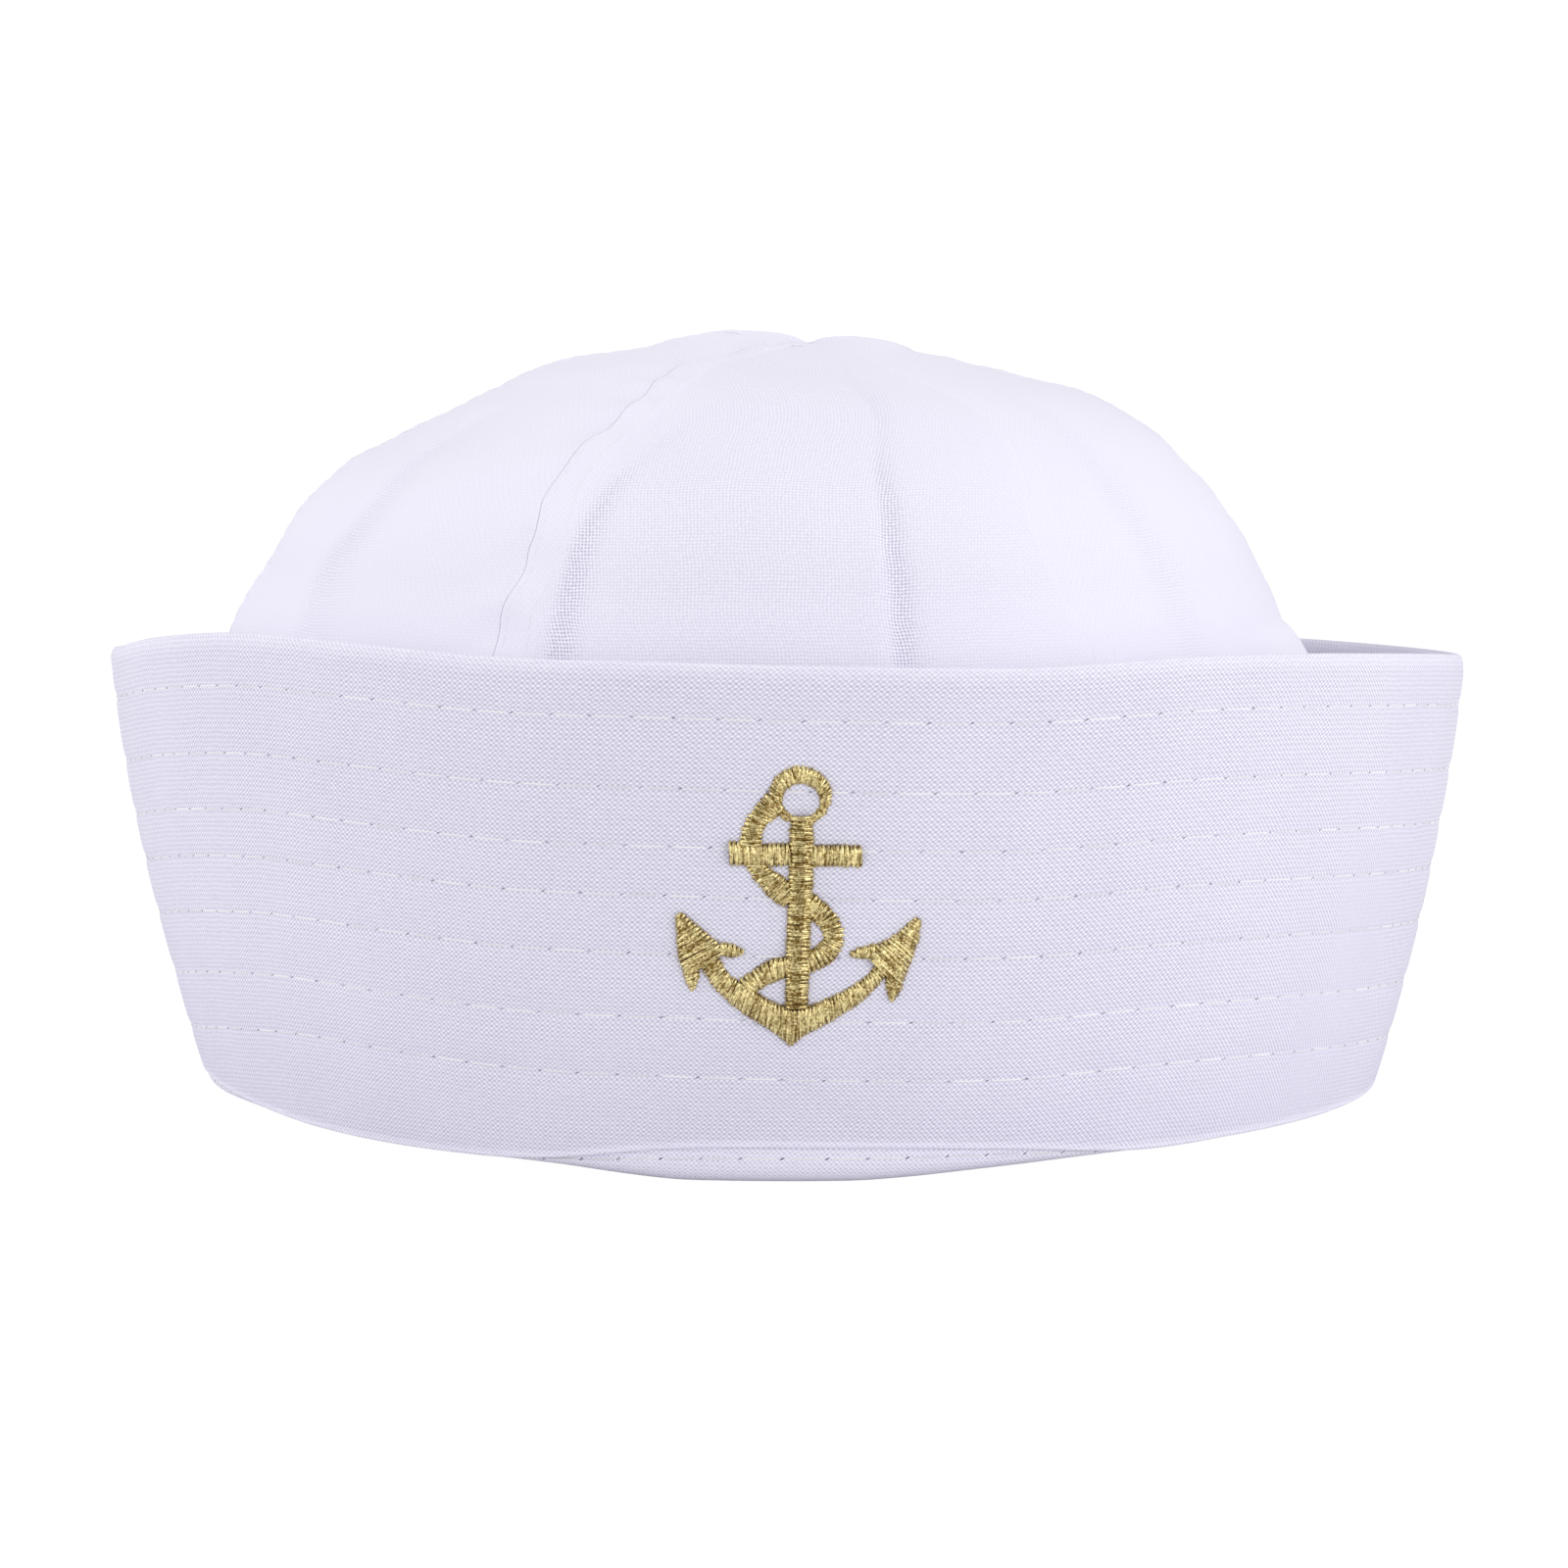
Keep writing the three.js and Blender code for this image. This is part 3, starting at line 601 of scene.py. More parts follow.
GORE_ROWS = 150
BAND_COLUMNS = 12
PLAIN_COLUMNS = 84
SHARP_EDGE = math.radians(50)
for name, (left_seam, right_seam) in GORES.items():
    level = np.linspace(0, 1, GORE_ROWS)[:, None]
    radius = read_table(MERIDIAN, "level", "width", level)
    step = seam_step(left_seam)
    open_left, open_right = (SEAM_GAP if seam in SEAM_STEP else 0.0 for seam in (left_seam, right_seam))
    turn_radius = np.maximum(radius, LEAST_RADIUS)
    left = seam_azimuth(left_seam, level) + np.degrees(open_left / turn_radius)
    right = seam_azimuth(right_seam, level) - np.degrees(open_right / turn_radius)
    span = np.mod(right - left, 360)
    width = np.radians(span) * radius
    band = np.minimum(SEAM_BAND / width, BAND_MOST)
    in_band = np.linspace(0, 1, BAND_COLUMNS, endpoint=False)[None, :] * band
    past_band = band + np.linspace(0, 1, PLAIN_COLUMNS)[None, :] ** 1.1 * (1 - band)
    share = np.concatenate([in_band, past_band], axis=1)
    azimuth = left + span * share
    along = crown_length(level)
    from_left = share * width
    from_right = (1 - share) * width
    edge = np.clip((from_left - band * width + BAND_EDGE / 2) / BAND_EDGE, 0, 1)
    raised = step * (1 - edge * edge * (3 - 2 * edge))
    raised -= step * np.exp(-((from_left / SEAM_DIP) ** 2))
    fade = np.clip(radius / TOP_FADE, 0, 1)
    ripple = (pucker(from_left, along, left_seam) + pucker(from_right, along, right_seam)) * fade
    places = crown_cloth(azimuth, level + 0 * share, raised + ripple)
    middle = (share - 0.5) * width
    cloth = np.stack(np.broadcast_arrays(middle, along), -1)
    _, open_weave = crown_folds(azimuth, level + 0 * share)
    single = 1 - (1 - edge) * BAND_HIDES
    gore = grid_piece(name + "_cotton", places, cloth, open_weave=open_weave * single)
    wall = gore.modifiers.new("doubled_cloth", "SOLIDIFY")
    wall.thickness = CROWN_WALL * MM
    wall.offset = -1
    bpy.ops.object.modifier_apply(modifier=wall.name)
    bpy.ops.object.shade_smooth_by_angle(angle=SHARP_EDGE)
    gore.data.materials.append(crown_finish.material)
    settle(gore, "crown_cotton", name)

# The felled seams' stitches
# Two rows of fine white thread hold each felled band down, one near each of its edges.
SEAM_THREAD = 0.20
SEAM_STITCH = 3.1
SEAM_STRAY = 0.2
SEAM_ROWS = [1.3, 5.4]
SEAM_BURY = 0.15
SOFT_SEAM_STAND = -0.06
SEAM_START = 0.08
SEAM_RUN = 0.89
SEAM_POINTS = 240
STITCH_REST = 0.03
THREAD_SIDES = 6
THREAD_STATIONS = [0.0, 0.12, 0.35, 0.65, 0.88, 1.0]


def model_thread(name, stations):
    """One straight stitch of six-sided thread along X from 0 to 1, with a cut at each station."""
    quarter = math.pi / 2
    bpy.ops.mesh.primitive_cylinder_add(
        vertices=THREAD_SIDES, radius=0.5, depth=1, location=(0.5, 0, 0), rotation=(quarter, 0, quarter)
    )
    thread = bpy.context.object
    thread.name = name
    bpy.ops.object.transform_apply(location=True, rotation=True, scale=True)
    bpy.ops.object.mode_set(mode="EDIT")
    for station in stations[1:-1]:
        bpy.ops.mesh.select_all(action="SELECT")
        bpy.ops.mesh.bisect(plane_co=(station, 0, 0), plane_no=(1, 0, 0))
    bpy.ops.object.mode_set(mode="OBJECT")
    bpy.ops.object.shade_smooth()
    thread.data.attributes.new("tone", "FLOAT", "POINT")
    return thread


def lay_threads(name, stations, centres, ups, thick, tones, flat=1.0):
    """Copies of one stitch, each bent along its own row of centres, joined into one piece."""
    model = model_thread(name, stations)
    shape = np.zeros(len(model.data.vertices) * 3)
    model.data.vertices.foreach_get("co", shape)
    along, aside, up = shape.reshape(-1, 3).T
    station = np.abs(along[:, None] - np.array(stations)[None, :]).argmin(1)
    ahead = np.gradient(centres, axis=1)
    side = np.cross(ups, ahead)
    side /= np.linalg.norm(side, axis=-1, keepdims=True)
    over = np.cross(ahead, side)
    over /= np.linalg.norm(over, axis=-1, keepdims=True)
    thick = np.broadcast_to(thick, centres.shape[:2])
    spread = side[:, station] * aside[None, :, None] + over[:, station] * up[None, :, None] * flat
    places = centres[:, station] + spread * thick[:, station, None]
    tones = np.broadcast_to(tones, centres.shape[:2])[:, station]
    bpy.ops.object.select_all(action="DESELECT")
    for place, tone in zip(places, tones):
        thread = model.copy()
        thread.data = model.data.copy()
        bpy.context.collection.objects.link(thread)
        thread.data.vertices.foreach_set("co", (place * MM).astype(np.float32).ravel())
        thread.data.attributes["tone"].data.foreach_set("value", tone.astype(np.float32))
        thread.select_set(True)
        bpy.context.view_layer.objects.active = thread
    bpy.data.objects.remove(model)
    bpy.ops.object.join()
    piece = bpy.context.object
    piece.name = name
    return piece


def spaced(line, pitch, start=0.0, jitter=0.0, dice=None):
    """Shares of a line, given as points, that lie one pitch apart along it."""
    length = np.concatenate([[0], np.cumsum(np.linalg.norm(np.diff(line, axis=0), axis=1))])
    marks = np.arange(start, length[-1], pitch)
    if dice:
        marks = marks + np.array([dice.uniform(-jitter, jitter) for _ in marks])
    return np.interp(marks, length, np.linspace(0, 1, len(line)))


def row_of_stitches(marks, stations, surface, bury, stand):
    """Centres and upward directions of the stitches between the marks, sunk at both ends."""
    begin, end = marks[:-1, None], marks[1:, None]
    stations = np.array(stations)
    share = begin + (end - begin) * (STITCH_REST + (1 - 2 * STITCH_REST) * stations[None, :])
    point, up = surface(share)
    arch = 1 - np.abs(2 * stations - 1) ** 5
    return point + up * (arch * (stand + bury) - bury)[None, :, None], up


FIBRE_SCALE = 2600.0
SEAM_THREAD_DARK = (0.78, 0.765, 0.86, 1)
SEAM_THREAD_BRIGHT = (0.90, 0.89, 0.96, 1)
thread_finish = Finish("white_thread")
fibre = thread_finish.noise(thread_finish.object_spot(), FIBRE_SCALE)
thread_finish.surface(
    Base_Color=thread_finish.blend(fibre, SEAM_THREAD_DARK, SEAM_THREAD_BRIGHT),
    Roughness=0.6,
    Normal=thread_finish.dent(fibre, 0.03, 0.3),
)

dice = random.Random(7)
seam_centres, seam_ups = [], []
for seam in SEAMS:
    for aside in SEAM_ROWS:

        def seam_surface(share):
            level = SEAM_START + SEAM_RUN * share
            radius = np.maximum(read_table(MERIDIAN, "level", "width", level), LEAST_RADIUS)
            azimuth = seam_azimuth(seam, level) + np.degrees(aside / radius)
            ripple = pucker(aside, crown_length(level), seam) * np.clip(radius / TOP_FADE, 0, 1)
            return crown_cloth(azimuth, level, seam_step(seam) + ripple), crown_normal(azimuth, level)

        line, _ = seam_surface(np.linspace(0, 1, SEAM_POINTS))
        marks = spaced(line, SEAM_STITCH, jitter=SEAM_STRAY, dice=dice)
        stand = 0.0 if seam in SEAM_STEP else SOFT_SEAM_STAND
        centres, ups = row_of_stitches(marks, THREAD_STATIONS, seam_surface, SEAM_BURY, stand)
        seam_centres.append(centres)
        seam_ups.append(ups)
seam_centres, seam_ups = np.concatenate(seam_centres), np.concatenate(seam_ups)
seam_threads = lay_threads(
    "felled_seam_stitches", THREAD_STATIONS, seam_centres, seam_ups, SEAM_THREAD, 0.5
)
seam_threads.data.materials.append(thread_finish.material)
settle(seam_threads, "crown_cotton")

# The brim's topstitching
# Seven rows of lockstitch quilt the brim and an eighth holds its lip. The thread is a warm white,
# pulled down into the cloth, and the shade in each needle hole is painted as a small dark dot.
TOP_THREAD = 0.27
TOP_STITCH = 6.1
TOP_STRAY = 0.25
TOP_BURY = 0.3
TOP_STAND = 0.03
HOLE_LENGTH = 0.85
HOLE_WIDTH = 0.34
HOLE_TILT = 0.5
HOLE_SINK = 0.10
HOLE_STATIONS = [0, 0.3, 0.7, 1]
LIP_SHARE = 0.62
TOP_POINTS = 720
TURN_STEP = 0.05
DOWN_STEP = 0.1
LIP_STEP = 0.05
MARK_STEP = 1e-4


def surface_row(line, beside):
    """A row on the brim as a function of its share round the cap, with its outward direction."""

    def surface(share):
        azimuth = share * 360 - 180
        point = line(azimuth)
        ahead = line(azimuth + TURN_STEP) - point
        normal = np.cross(ahead, beside(azimuth) - point)
        return point, normal / np.linalg.norm(normal, axis=-1, keepdims=True)

    return surface


top_rows = [
    surface_row(
        lambda azimuth, row=row: brim_cloth(azimuth, row + 0 * azimuth),
        lambda azimuth, row=row: brim_cloth(azimuth, row - DOWN_STEP + 0 * azimuth),
    )
    for row in STITCH_ROWS
]
top_rows.append(
    surface_row(
        lambda azimuth: brim_lip(azimuth, LIP_SHARE + 0 * azimuth),
        lambda azimuth: brim_lip(azimuth, LIP_SHARE + LIP_STEP + 0 * azimuth),
    )
)
top_centres, top_ups, hole_centres, hole_ups = [], [], [], []
for surface in top_rows:
    line, _ = surface(np.linspace(0, 1, TOP_POINTS))
    marks = spaced(line, TOP_STITCH, start=dice.uniform(0, TOP_STITCH), jitter=TOP_STRAY, dice=dice)
    marks = np.append(marks, marks[0] + 1)
    centres, ups = row_of_stitches(marks, THREAD_STATIONS, surface, TOP_BURY, TOP_STAND)
    top_centres.append(centres)
    top_ups.append(ups)
    point, up = surface(marks[:-1])
    ahead = surface(marks[:-1] + MARK_STEP)[0] - point
    ahead /= np.linalg.norm(ahead, axis=-1, keepdims=True)
    tilt = ahead + HOLE_TILT * np.cross(up, ahead)
    reach = (np.array(HOLE_STATIONS) - 0.5) * HOLE_LENGTH
    hole_centres.append(point[:, None] + tilt[:, None] * reach[None, :, None] - up[:, None] * HOLE_SINK)
    hole_ups.append(np.repeat(up[:, None], len(HOLE_STATIONS), axis=1))
top_centres, hole_centres = np.concatenate(top_centres), np.concatenate(hole_centres)
top_tones = np.array([dice.random() for _ in top_centres])[:, None]
hole_tones = np.array([dice.random() for _ in hole_centres])[:, None]
top_threads = lay_threads(
    "brim_topstitching", THREAD_STATIONS, top_centres, np.concatenate(top_ups), TOP_THREAD, top_tones
)
TOP_THREAD_DARK = (0.66, 0.645, 0.72, 1)
TOP_THREAD_BRIGHT = (0.92, 0.90, 0.91, 1)
top_finish = Finish("cream_thread")
fibre = top_finish.noise(top_finish.object_spot(), FIBRE_SCALE)
mix = top_finish.mark("tone") * 0.7 + fibre * 0.3
top_finish.surface(
    Base_Color=top_finish.blend(mix, TOP_THREAD_DARK, TOP_THREAD_BRIGHT),
    Roughness=0.6,
    Normal=top_finish.dent(fibre, 0.03, 0.3),
)
top_threads.data.materials.append(top_finish.material)
settle(top_threads, "brim_cotton")
# Painted shade: a small dark flattened shape at each needle hole stands for the shade inside the hole.
thin_ends = np.array([0.35, 1.0, 1.0, 0.35]) * HOLE_WIDTH
needle_hole_shadows = lay_threads(
    "needle_hole_shadows", HOLE_STATIONS, hole_centres, np.concatenate(hole_ups), thin_ends, hole_tones
)
HOLE_DARK = (0.10, 0.10, 0.13, 1)
HOLE_BRIGHT = (0.46, 0.46, 0.54, 1)
hole_finish = Finish("needle_hole_shadow")
mix = hole_finish.mark("tone") * 0.75 + hole_finish.noise(hole_finish.object_spot(), 1800.0) * 0.25
hole_finish.surface(Base_Color=hole_finish.blend(mix, HOLE_DARK, HOLE_BRIGHT), Roughness=1.0)
needle_hole_shadows.data.materials.append(hole_finish.material)
settle(needle_hole_shadows, "brim_cotton")

# The embroidered anchor
# Satin stitch in gold metal thread over padding stitches, coloured dark brown as painted shade that shows in
# the gaps between gold threads. Each column of stitches runs between two edges, zigzags from one to the
# other, and stands proud where another column lies under it.
ANCHOR_AZIMUTH = 0.7
ANCHOR_DOWN = 35.4
GOLD_THREAD = 0.47
GOLD_PITCH = 0.31
GOLD_FLAT = 0.72
GOLD_STATIONS = [0.0, 0.06, 0.14, 0.25, 0.4, 0.6, 0.75, 0.86, 0.94, 1.0]
GOLD_SINK = 0.12
SATIN_SLOPE = 0.42
ZIGZAG = 0.6
END_STRAY = (-0.12, 0.18)
SIDE_STRAY = 0.07
HEIGHT_STRAY = 0.07
SWAY = 0.08
GOLD_TONE = (0.32, 0.76)
LEVEL_PAINTED_HIGHLIGHT = 0.22
MIDDLE_PAINTED_SHADE = 0.44
TONE_STRAY = 0.30
EDGE_POINTS = 240
PADDING_SHARE = 0.80
PADDING_SINK = 0.22
PADDING_WALL = 0.3
# A stitch whose middle would lie under the shank is left out
SHANK_MIDDLE = 0.3
SHANK_HALF = 1.1
SHANK_FOOT = -15.2
SHANK_HEAD = 13.0
RING_POINTS = np.radians(np.arange(0, 361, 20) - 90)
RING = [
    ((0.55 + 4.25 * np.cos(a), 16.4 + 4.45 * np.sin(a)), (0.65 + 2.6 * np.cos(a), 15.6 + 2.45 * np.sin(a)))
    for a in RING_POINTS
]
# Pairs of points on a column's two edges, in millimetres across and up, from its first stitch
COLUMNS = dict(
    upper_rope=dict(
        height=0.72,
        edges=[
            ((-4.1, 16.8), (-2.0, 14.2)), ((-5.1, 15.4), (-2.5, 13.2)), ((-6.0, 14.2), (-3.2, 12.6)),
            ((-7.0, 12.6), (-4.0, 11.8)), ((-7.6, 11.0), (-4.6, 10.6)), ((-8.0, 9.0), (-4.7, 8.8)),
        ],
    ),
    middle_rope=dict(
        height=0.72,
        edges=[
            ((-8.0, 8.0), (-4.9, 8.0)), ((-7.8, 6.8), (-4.5, 6.8)), ((-7.1, 5.5), (-4.0, 5.8)),
            ((-6.1, 3.8), (-3.0, 5.0)), ((-4.9, 2.3), (-1.9, 4.4)), ((-3.6, 0.8), (-1.1, 3.5)),
            ((-1.9, -0.4), (0.2, 2.6)),
        ],
    ),
    right_rope=dict(
        height=0.72,
        edges=[
            ((1.0, 3.0), (-0.6, -0.5)), ((3.3, 1.0), (1.6, -1.9)), ((5.0, -0.5), (2.7, -2.9)),
            ((6.1, -1.9), (3.3, -3.4)), ((6.7, -4.2), (3.7, -4.2)), ((6.5, -6.4), (3.6, -5.3)),
            ((5.3, -8.5), (3.0, -6.0)), ((3.5, -9.7), (2.2, -6.5)), ((1.4, -10.5), (0.8, -7.0)),
        ],
    ),
    lower_rope=dict(
        height=0.72,
        edges=[
            ((0.2, -10.9), (0.2, -7.3)), ((-1.8, -11.2), (-1.8, -7.9)), ((-3.3, -11.8), (-3.9, -8.5)),
            ((-4.6, -12.6), (-6.0, -9.8)), ((-5.9, -13.4), (-7.8, -11.1)), ((-6.6, -14.0), (-8.8, -12.0)),
        ],
    ),
    ring=dict(height=0.8, edges=RING),
    left_arm=dict(
        height=0.86,
        edges=[
            ((-14.0, -9.8), (-11.6, -7.7)), ((-13.3, -10.8), (-10.9, -8.6)), ((-12.5, -12.2), (-10.2, -9.9)),
            ((-11.3, -13.9), (-9.4, -11.0)), ((-9.6, -15.5), (-8.0, -11.8)), ((-7.7, -16.9), (-6.2, -12.9)),
            ((-5.4, -18.3), (-4.6, -14.2)), ((-3.3, -19.7), (-2.9, -15.1)), ((-1.0, -21.7), (-1.0, -15.6)),
        ],
    ),
    right_arm=dict(
        height=0.86,
        edges=[
            ((-0.9, -21.7), (-0.9, -15.6)), ((0.9, -20.2), (1.0, -15.4)), ((3.4, -18.7), (3.2, -14.6)),
            ((6.1, -17.0), (5.4, -13.5)), ((8.5, -15.4), (7.6, -12.3)), ((10.5, -13.6), (9.4, -11.0)),
            ((12.1, -11.7), (10.9, -9.4)), ((12.9, -10.6), (11.6, -8.6)),
        ],
    ),
    left_fluke=dict(
        height=0.95,
        edges=[
            ((-17.0, -2.2), (-16.2, -1.5)), ((-17.1, -4.0), (-14.9, -2.7)), ((-17.1, -6.0), (-13.6, -3.8)),
            ((-17.0, -7.9), (-12.1, -5.0)), ((-16.8, -9.6), (-10.9, -6.0)), ((-16.2, -11.3), (-10.2, -7.4)),
        ],
    ),
    left_low_barb=dict(
        height=0.85,
        edges=[
            ((-16.3, -11.0), (-13.8, -10.0)), ((-16.0, -12.2), (-14.0, -11.4)),
            ((-15.3, -13.5), (-14.6, -12.9)),
        ],
    ),
    left_inner_barb=dict(
        height=0.85,
        edges=[
            ((-10.9, -8.0), (-10.7, -5.9)), ((-9.4, -8.3), (-9.2, -6.1)), ((-8.2, -8.0), (-8.2, -6.6)),
            ((-7.6, -7.5), (-7.6, -7.1)),
        ],
    ),
    right_fluke=dict(
        height=0.95,
        edges=[
            ((16.7, -1.5), (17.5, -2.1)), ((15.5, -2.6), (17.5, -4.2)), ((13.9, -4.1), (17.0, -6.4)),
            ((12.3, -5.1), (16.4, -8.6)), ((11.0, -5.9), (15.8, -10.6)), ((10.1, -7.5), (14.9, -12.6)),
        ],
    ),
    right_low_barb=dict(
        height=0.85,
        edges=[
            ((12.5, -10.6), (15.4, -12.0)), ((12.9, -12.4), (14.9, -13.2)),
            ((13.4, -14.1), (14.0, -14.7)),
        ],
    ),
    right_inner_barb=dict(
        height=0.85,
        edges=[
            ((11.0, -8.1), (11.1, -5.6)), ((9.5, -8.0), (9.6, -5.9)), ((8.3, -7.9), (8.5, -6.4)),
            ((7.6, -7.5), (7.7, -7.0)),
        ],
    ),
    left_stock=dict(
        height=0.92,
        edges=[((-9.3, 5.7), (-9.3, 9.3)), ((-5.1, 5.6), (-5.1, 9.2)), ((0.0, 5.9), (0.0, 9.2))],
    ),
    right_stock=dict(
        height=0.92,
        edges=[((1.2, 5.8), (1.2, 9.0)), ((5.0, 5.8), (5.0, 9.1)), ((8.9, 5.7), (8.9, 9.1))],
    ),
    shank=dict(
        height=1.12,
        edges=[
            ((-0.9, 13.3), (2.3, 13.3)), ((-1.1, 9.4), (2.4, 9.5)), ((-1.2, 3.5), (2.3, 3.6)),
            ((-1.4, -2.4), (2.0, -2.3)), ((-1.6, -8.3), (1.9, -8.2)), ((-1.7, -15.5), (1.7, -15.6)),
        ],
    ),
)


def on_brim(x, y, out):
    """A place on the anchor, across and up from its middle, standing out from the brim."""
    middle, _ = oval(RIM["width"], RIM["depth"], ANCHOR_AZIMUTH)
    radius = (CREASE["width"] + RIM["width"]) / 2 * (1 - EGG)
    azimuth = np.degrees(np.arcsin((middle * radius / RIM["width"] + x) / radius))
    return brim_wall(azimuth, 1 - (ANCHOR_DOWN - y) / brim_slope(azimuth), out)


def smooth_edges(edges, count):
    """Many pairs of points along a column's two edges, from the few that it is drawn with."""
    edges = np.array(edges, float).reshape(len(edges), 4)
    length = np.linalg.norm(np.diff(edges, axis=0), axis=1)
    table = dict(share=np.concatenate([[0], np.cumsum(length)]) / length.sum())
    share = np.linspace(0, 1, count)
    for column, values in zip(("ax", "ay", "bx", "by"), edges.T):
        table[column] = values
    return np.stack([read_table(table, "share", column, share) for column in ("ax", "ay", "bx", "by")], -1)


def satin_rise(width, share, height):
    """How high a satin stitch stands: up steeply from each needle hole and flat over its padding."""
    inside = np.minimum(share, 1 - share) * width
    return height * (1 - np.exp(-inside / SATIN_SLOPE))


share = np.array(GOLD_STATIONS)
gold_centres, gold_ups, gold_tones, mounds = [], [], [], []
for name, column in COLUMNS.items():
    fine = smooth_edges(column["edges"], EDGE_POINTS)
    middle_line = (fine[:, :2] + fine[:, 2:]) / 2
    outer_line = fine[:, :2] if name == "ring" else middle_line
    marks = spaced(outer_line, GOLD_PITCH, start=0.1)
    for number, mark in enumerate(marks):
        lead = min(1.0, mark + ZIGZAG * (marks[1] - marks[0]))
        ends = [mark, lead] if number % 2 else [lead, mark]
        begin, end = (
            np.array([np.interp(spot, np.linspace(0, 1, EDGE_POINTS), fine[:, i + side]) for i in (0, 1)])
            for spot, side in zip(ends, (0, 2))
        )
        reach = end - begin
        width = max(0.5, np.linalg.norm(reach))
        ahead, aside = reach / width, np.array([-reach[1], reach[0]]) / width
        begin = begin - ahead * dice.uniform(*END_STRAY) + aside * dice.uniform(-SIDE_STRAY, SIDE_STRAY)
        end = end + ahead * dice.uniform(*END_STRAY) + aside * dice.uniform(-SIDE_STRAY, SIDE_STRAY)
        crosses = abs((begin[0] + end[0]) / 2 - SHANK_MIDDLE) < SHANK_HALF
        on_its_length = SHANK_FOOT < begin[1] < SHANK_HEAD and end[1] > SHANK_FOOT
        if name != "shank" and crosses and on_its_length:
            continue
        sway = aside * dice.uniform(-SWAY, SWAY)
        spot = begin + (end - begin) * share[:, None] + sway * np.sin(math.pi * share)[:, None]
        rise = satin_rise(width, share, column["height"] + dice.uniform(-HEIGHT_STRAY, HEIGHT_STRAY))
        centre = on_brim(spot[:, 0], spot[:, 1], rise - GOLD_SINK)
        foot = on_brim(spot[:, 0], spot[:, 1], rise - GOLD_SINK - 1)
        gold_centres.append(centre)
        gold_ups.append(centre - foot)
        # Painted shade and highlight: the more level a stitch lies, the darker its middle and the lighter
        # its ends, as side light would fall on it; the rest of the tone differs at random.
        level_share = (reach[0] / width) ** 2
        middle = (1 - np.abs(2 * share - 1) ** 2.5) * level_share
        tone = dice.uniform(*GOLD_TONE) + LEVEL_PAINTED_HIGHLIGHT * level_share - MIDDLE_PAINTED_SHADE * middle
        stray = [dice.uniform(-TONE_STRAY, TONE_STRAY) for _ in GOLD_STATIONS]
        gold_tones.append(tone + np.array(stray))
    across = np.linspace(0, 1, 9)
    rows = smooth_edges(column["edges"], max(6, int(len(marks) / 3)))
    spot = rows[:, None, :2] + (rows[:, None, 2:] - rows[:, None, :2]) * across[None, :, None]
    width = np.linalg.norm(rows[:, 2:] - rows[:, :2], axis=1)[:, None]
    low = satin_rise(width, across[None, :], column["height"]) * PADDING_SHARE - PADDING_SINK
    mounds.append((on_brim(spot[..., 0], spot[..., 1], low), spot))
slim_ends = GOLD_THREAD * np.array([0.45, 0.7, 0.9, 1, 1, 1, 1, 0.9, 0.7, 0.45])
gold_threads = lay_threads(
    "anchor_gold_threads",
    GOLD_STATIONS,
    np.array(gold_centres),
    np.array(gold_ups),
    slim_ends,
    np.array(gold_tones),
    flat=GOLD_FLAT,
)
GOLD_DARK = (0.20, 0.115, 0.02, 1)
GOLD_BRIGHT = (1.0, 0.87, 0.45, 1)
gold_finish = Finish("gold_metal_thread")
glint = gold_finish.noise(gold_finish.object_spot(), 3000.0, 1.0)
# Painted glints: the glint noise lightens and darkens the gold's colour in small spots, and the same noise
# also bumps the surface.
mix = (gold_finish.mark("tone") + (glint - 0.5) * 1.9).limited()
gold_finish.surface(
    Base_Color=gold_finish.blend(mix, GOLD_DARK, GOLD_BRIGHT),
    Metallic=0.9,
    Roughness=0.30,
    Normal=gold_finish.dent(glint, 0.07, 1.0),
)
gold_threads.data.materials.append(gold_finish.material)
settle(gold_threads, "gold_thread", "anchor_embroidery")
# Painted shade: the padding is dark brown so that the gaps between the gold stitches read as shade.
PADDING_DARK = (0.10, 0.055, 0.015, 1)
PADDING_BRIGHT = (0.30, 0.18, 0.04, 1)
padding_shade_finish = Finish("padding_thread_shade")
fibre = padding_shade_finish.noise(padding_shade_finish.object_spot(), 1500.0)
padding_shade_finish.surface(
    Base_Color=padding_shade_finish.blend(fibre, PADDING_DARK, PADDING_BRIGHT),
    Roughness=0.7,
)
for number, (places, spot) in enumerate(mounds):
    across, along = places[:-1, -1] - places[:-1, 0], places[1:, 0] - places[:-1, 0]
    faces_back = np.cross(across, along)[:, 1].sum() > 0
    if faces_back:
        places, spot = places[:, ::-1], spot[:, ::-1]
    mound = grid_piece("anchor_padding_%d" % (number + 1), places, spot)
    pad = mound.modifiers.new("padding_stitches", "SOLIDIFY")
    pad.thickness = PADDING_WALL * MM
    pad.offset = -1
    bpy.ops.object.modifier_apply(modifier=pad.name)
    bpy.ops.object.shade_smooth_by_angle(angle=SHARP_EDGE)
    mound.data.materials.append(padding_shade_finish.material)
    settle(mound, "gold_thread")

# The studio
# A white floor and backdrop in a bright tent, with softboxes above, at both sides and in front.
TENT_LIGHT = 0.35
BACKDROP_LIGHT = 1.1
CAMERA_BACK = 890
CAMERA_ASIDE = -0.5
CAMERA_HEIGHT = 128
CAMERA_PITCH = 5.03
CAMERA_LENS = 126.0

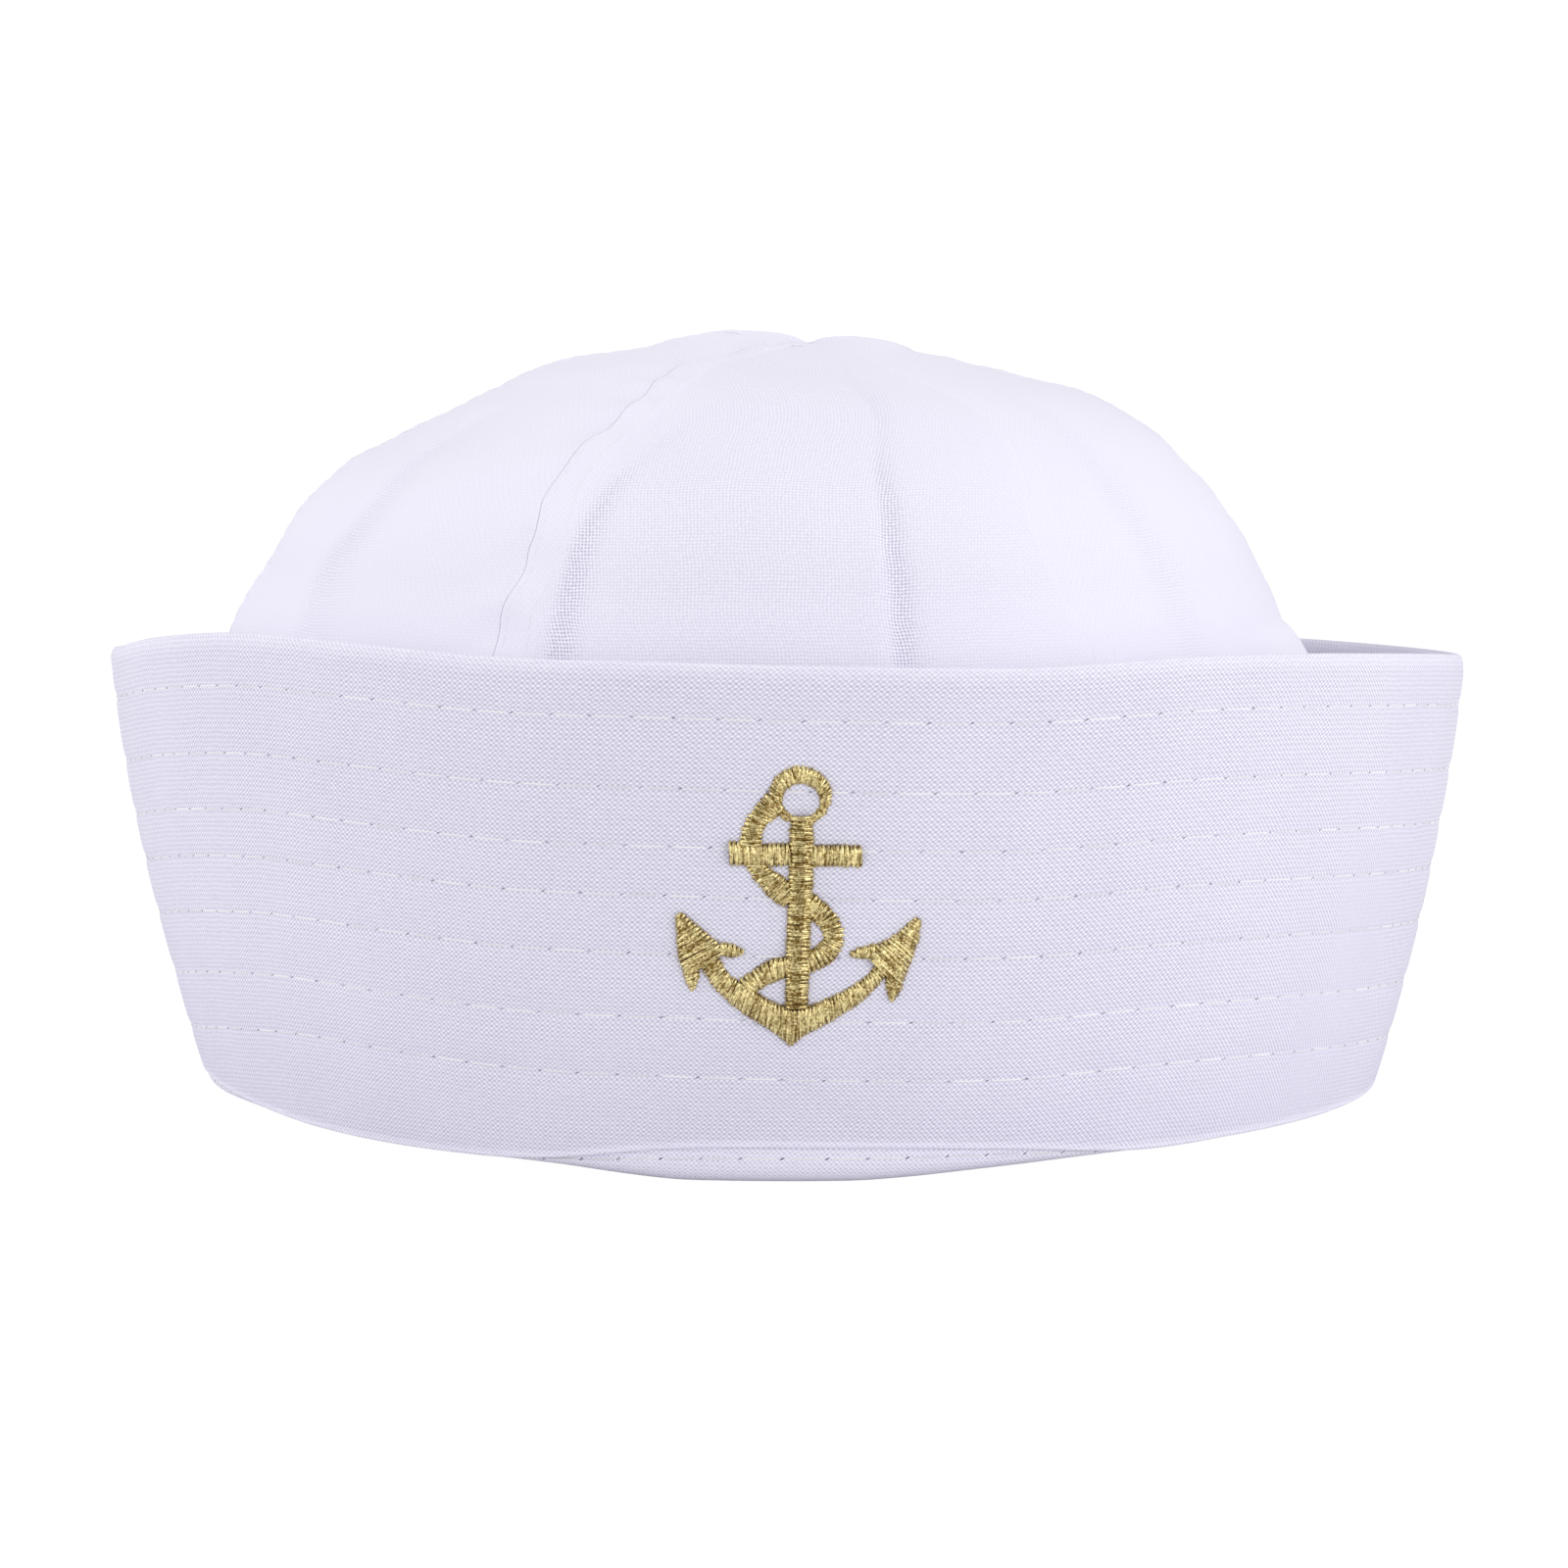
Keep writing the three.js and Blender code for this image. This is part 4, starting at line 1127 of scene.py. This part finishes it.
bpy.ops.mesh.primitive_circle_add(vertices=96, radius=6.0, fill_type="NGON", location=(0, 0, -0.0002))
floor = bpy.context.object
floor.name = "floor"
bpy.ops.object.transform_apply(location=True, rotation=True, scale=True)
floor_finish = Finish("white_floor")
floor_finish.surface(Base_Color=(0.9, 0.9, 0.9, 1), Roughness=0.9)
backdrop = floor_finish.tree.nodes.new("ShaderNodeEmission")
backdrop.inputs["Strength"].default_value = BACKDROP_LIGHT
seen = floor_finish.node("ShaderNodeLightPath", {}, {})
mixed = floor_finish.tree.nodes.new("ShaderNodeMixShader")
floor_finish.feed(mixed.inputs[0], seen * 0.9)
floor_finish.tree.links.new(floor_finish.shader.outputs[0], mixed.inputs[1])
floor_finish.tree.links.new(backdrop.outputs[0], mixed.inputs[2])
floor_finish.tree.links.new(mixed.outputs[0], floor_finish.tree.nodes["Material Output"].inputs[0])
floor.data.materials.append(floor_finish.material)

world = bpy.data.worlds.new("white_tent")
world.use_nodes = True
bpy.context.scene.world = world
tree = world.node_tree
seen = tree.nodes.new("ShaderNodeLightPath")
strength = tree.nodes.new("ShaderNodeMix")
strength.data_type = "FLOAT"
strength.inputs[2].default_value = TENT_LIGHT
strength.inputs[3].default_value = BACKDROP_LIGHT
tree.links.new(seen.outputs["Is Camera Ray"], strength.inputs[0])
tree.links.new(strength.outputs[0], tree.nodes["Background"].inputs["Strength"])
tree.nodes["Background"].inputs["Color"].default_value = (1, 1, 1, 1)

SOFTBOXES = dict(
    above=dict(place=(0.0, 0.1, 1.1), aim=(0.0, 0.0, 0.0), size=1.2, power=4.85),
    left=dict(place=(-1.0, -0.15, 0.45), aim=(0.0, 0.0, 0.06), size=0.8, power=5.05),
    right=dict(place=(1.0, -0.15, 0.45), aim=(0.0, 0.0, 0.06), size=0.8, power=3.55),
    front_left=dict(place=(-0.8, -1.0, 0.35), aim=(0.0, 0.0, 0.06), size=0.7, power=1.9),
    front_right=dict(place=(0.8, -1.0, 0.35), aim=(0.0, 0.0, 0.06), size=0.7, power=5.45),
)
for name, box in SOFTBOXES.items():
    bpy.ops.object.light_add(type="AREA", location=box["place"])
    lamp = bpy.context.object
    lamp.name = "softbox_" + name
    lamp.data.size = box["size"]
    lamp.data.energy = box["power"]
    lamp.rotation_euler = (Vector(box["aim"]) - Vector(box["place"])).to_track_quat("-Z", "Y").to_euler()

bpy.ops.object.camera_add(location=(CAMERA_ASIDE * MM, -CAMERA_BACK * MM, CAMERA_HEIGHT * MM))
camera = bpy.context.object
camera.rotation_euler = (math.radians(90 - CAMERA_PITCH), 0, 0)
camera.data.sensor_width = 36.0
camera.data.lens = CAMERA_LENS
camera.data.clip_start = 0.01
bpy.context.scene.camera = camera
bpy.context.scene.view_settings.view_transform = "Standard"
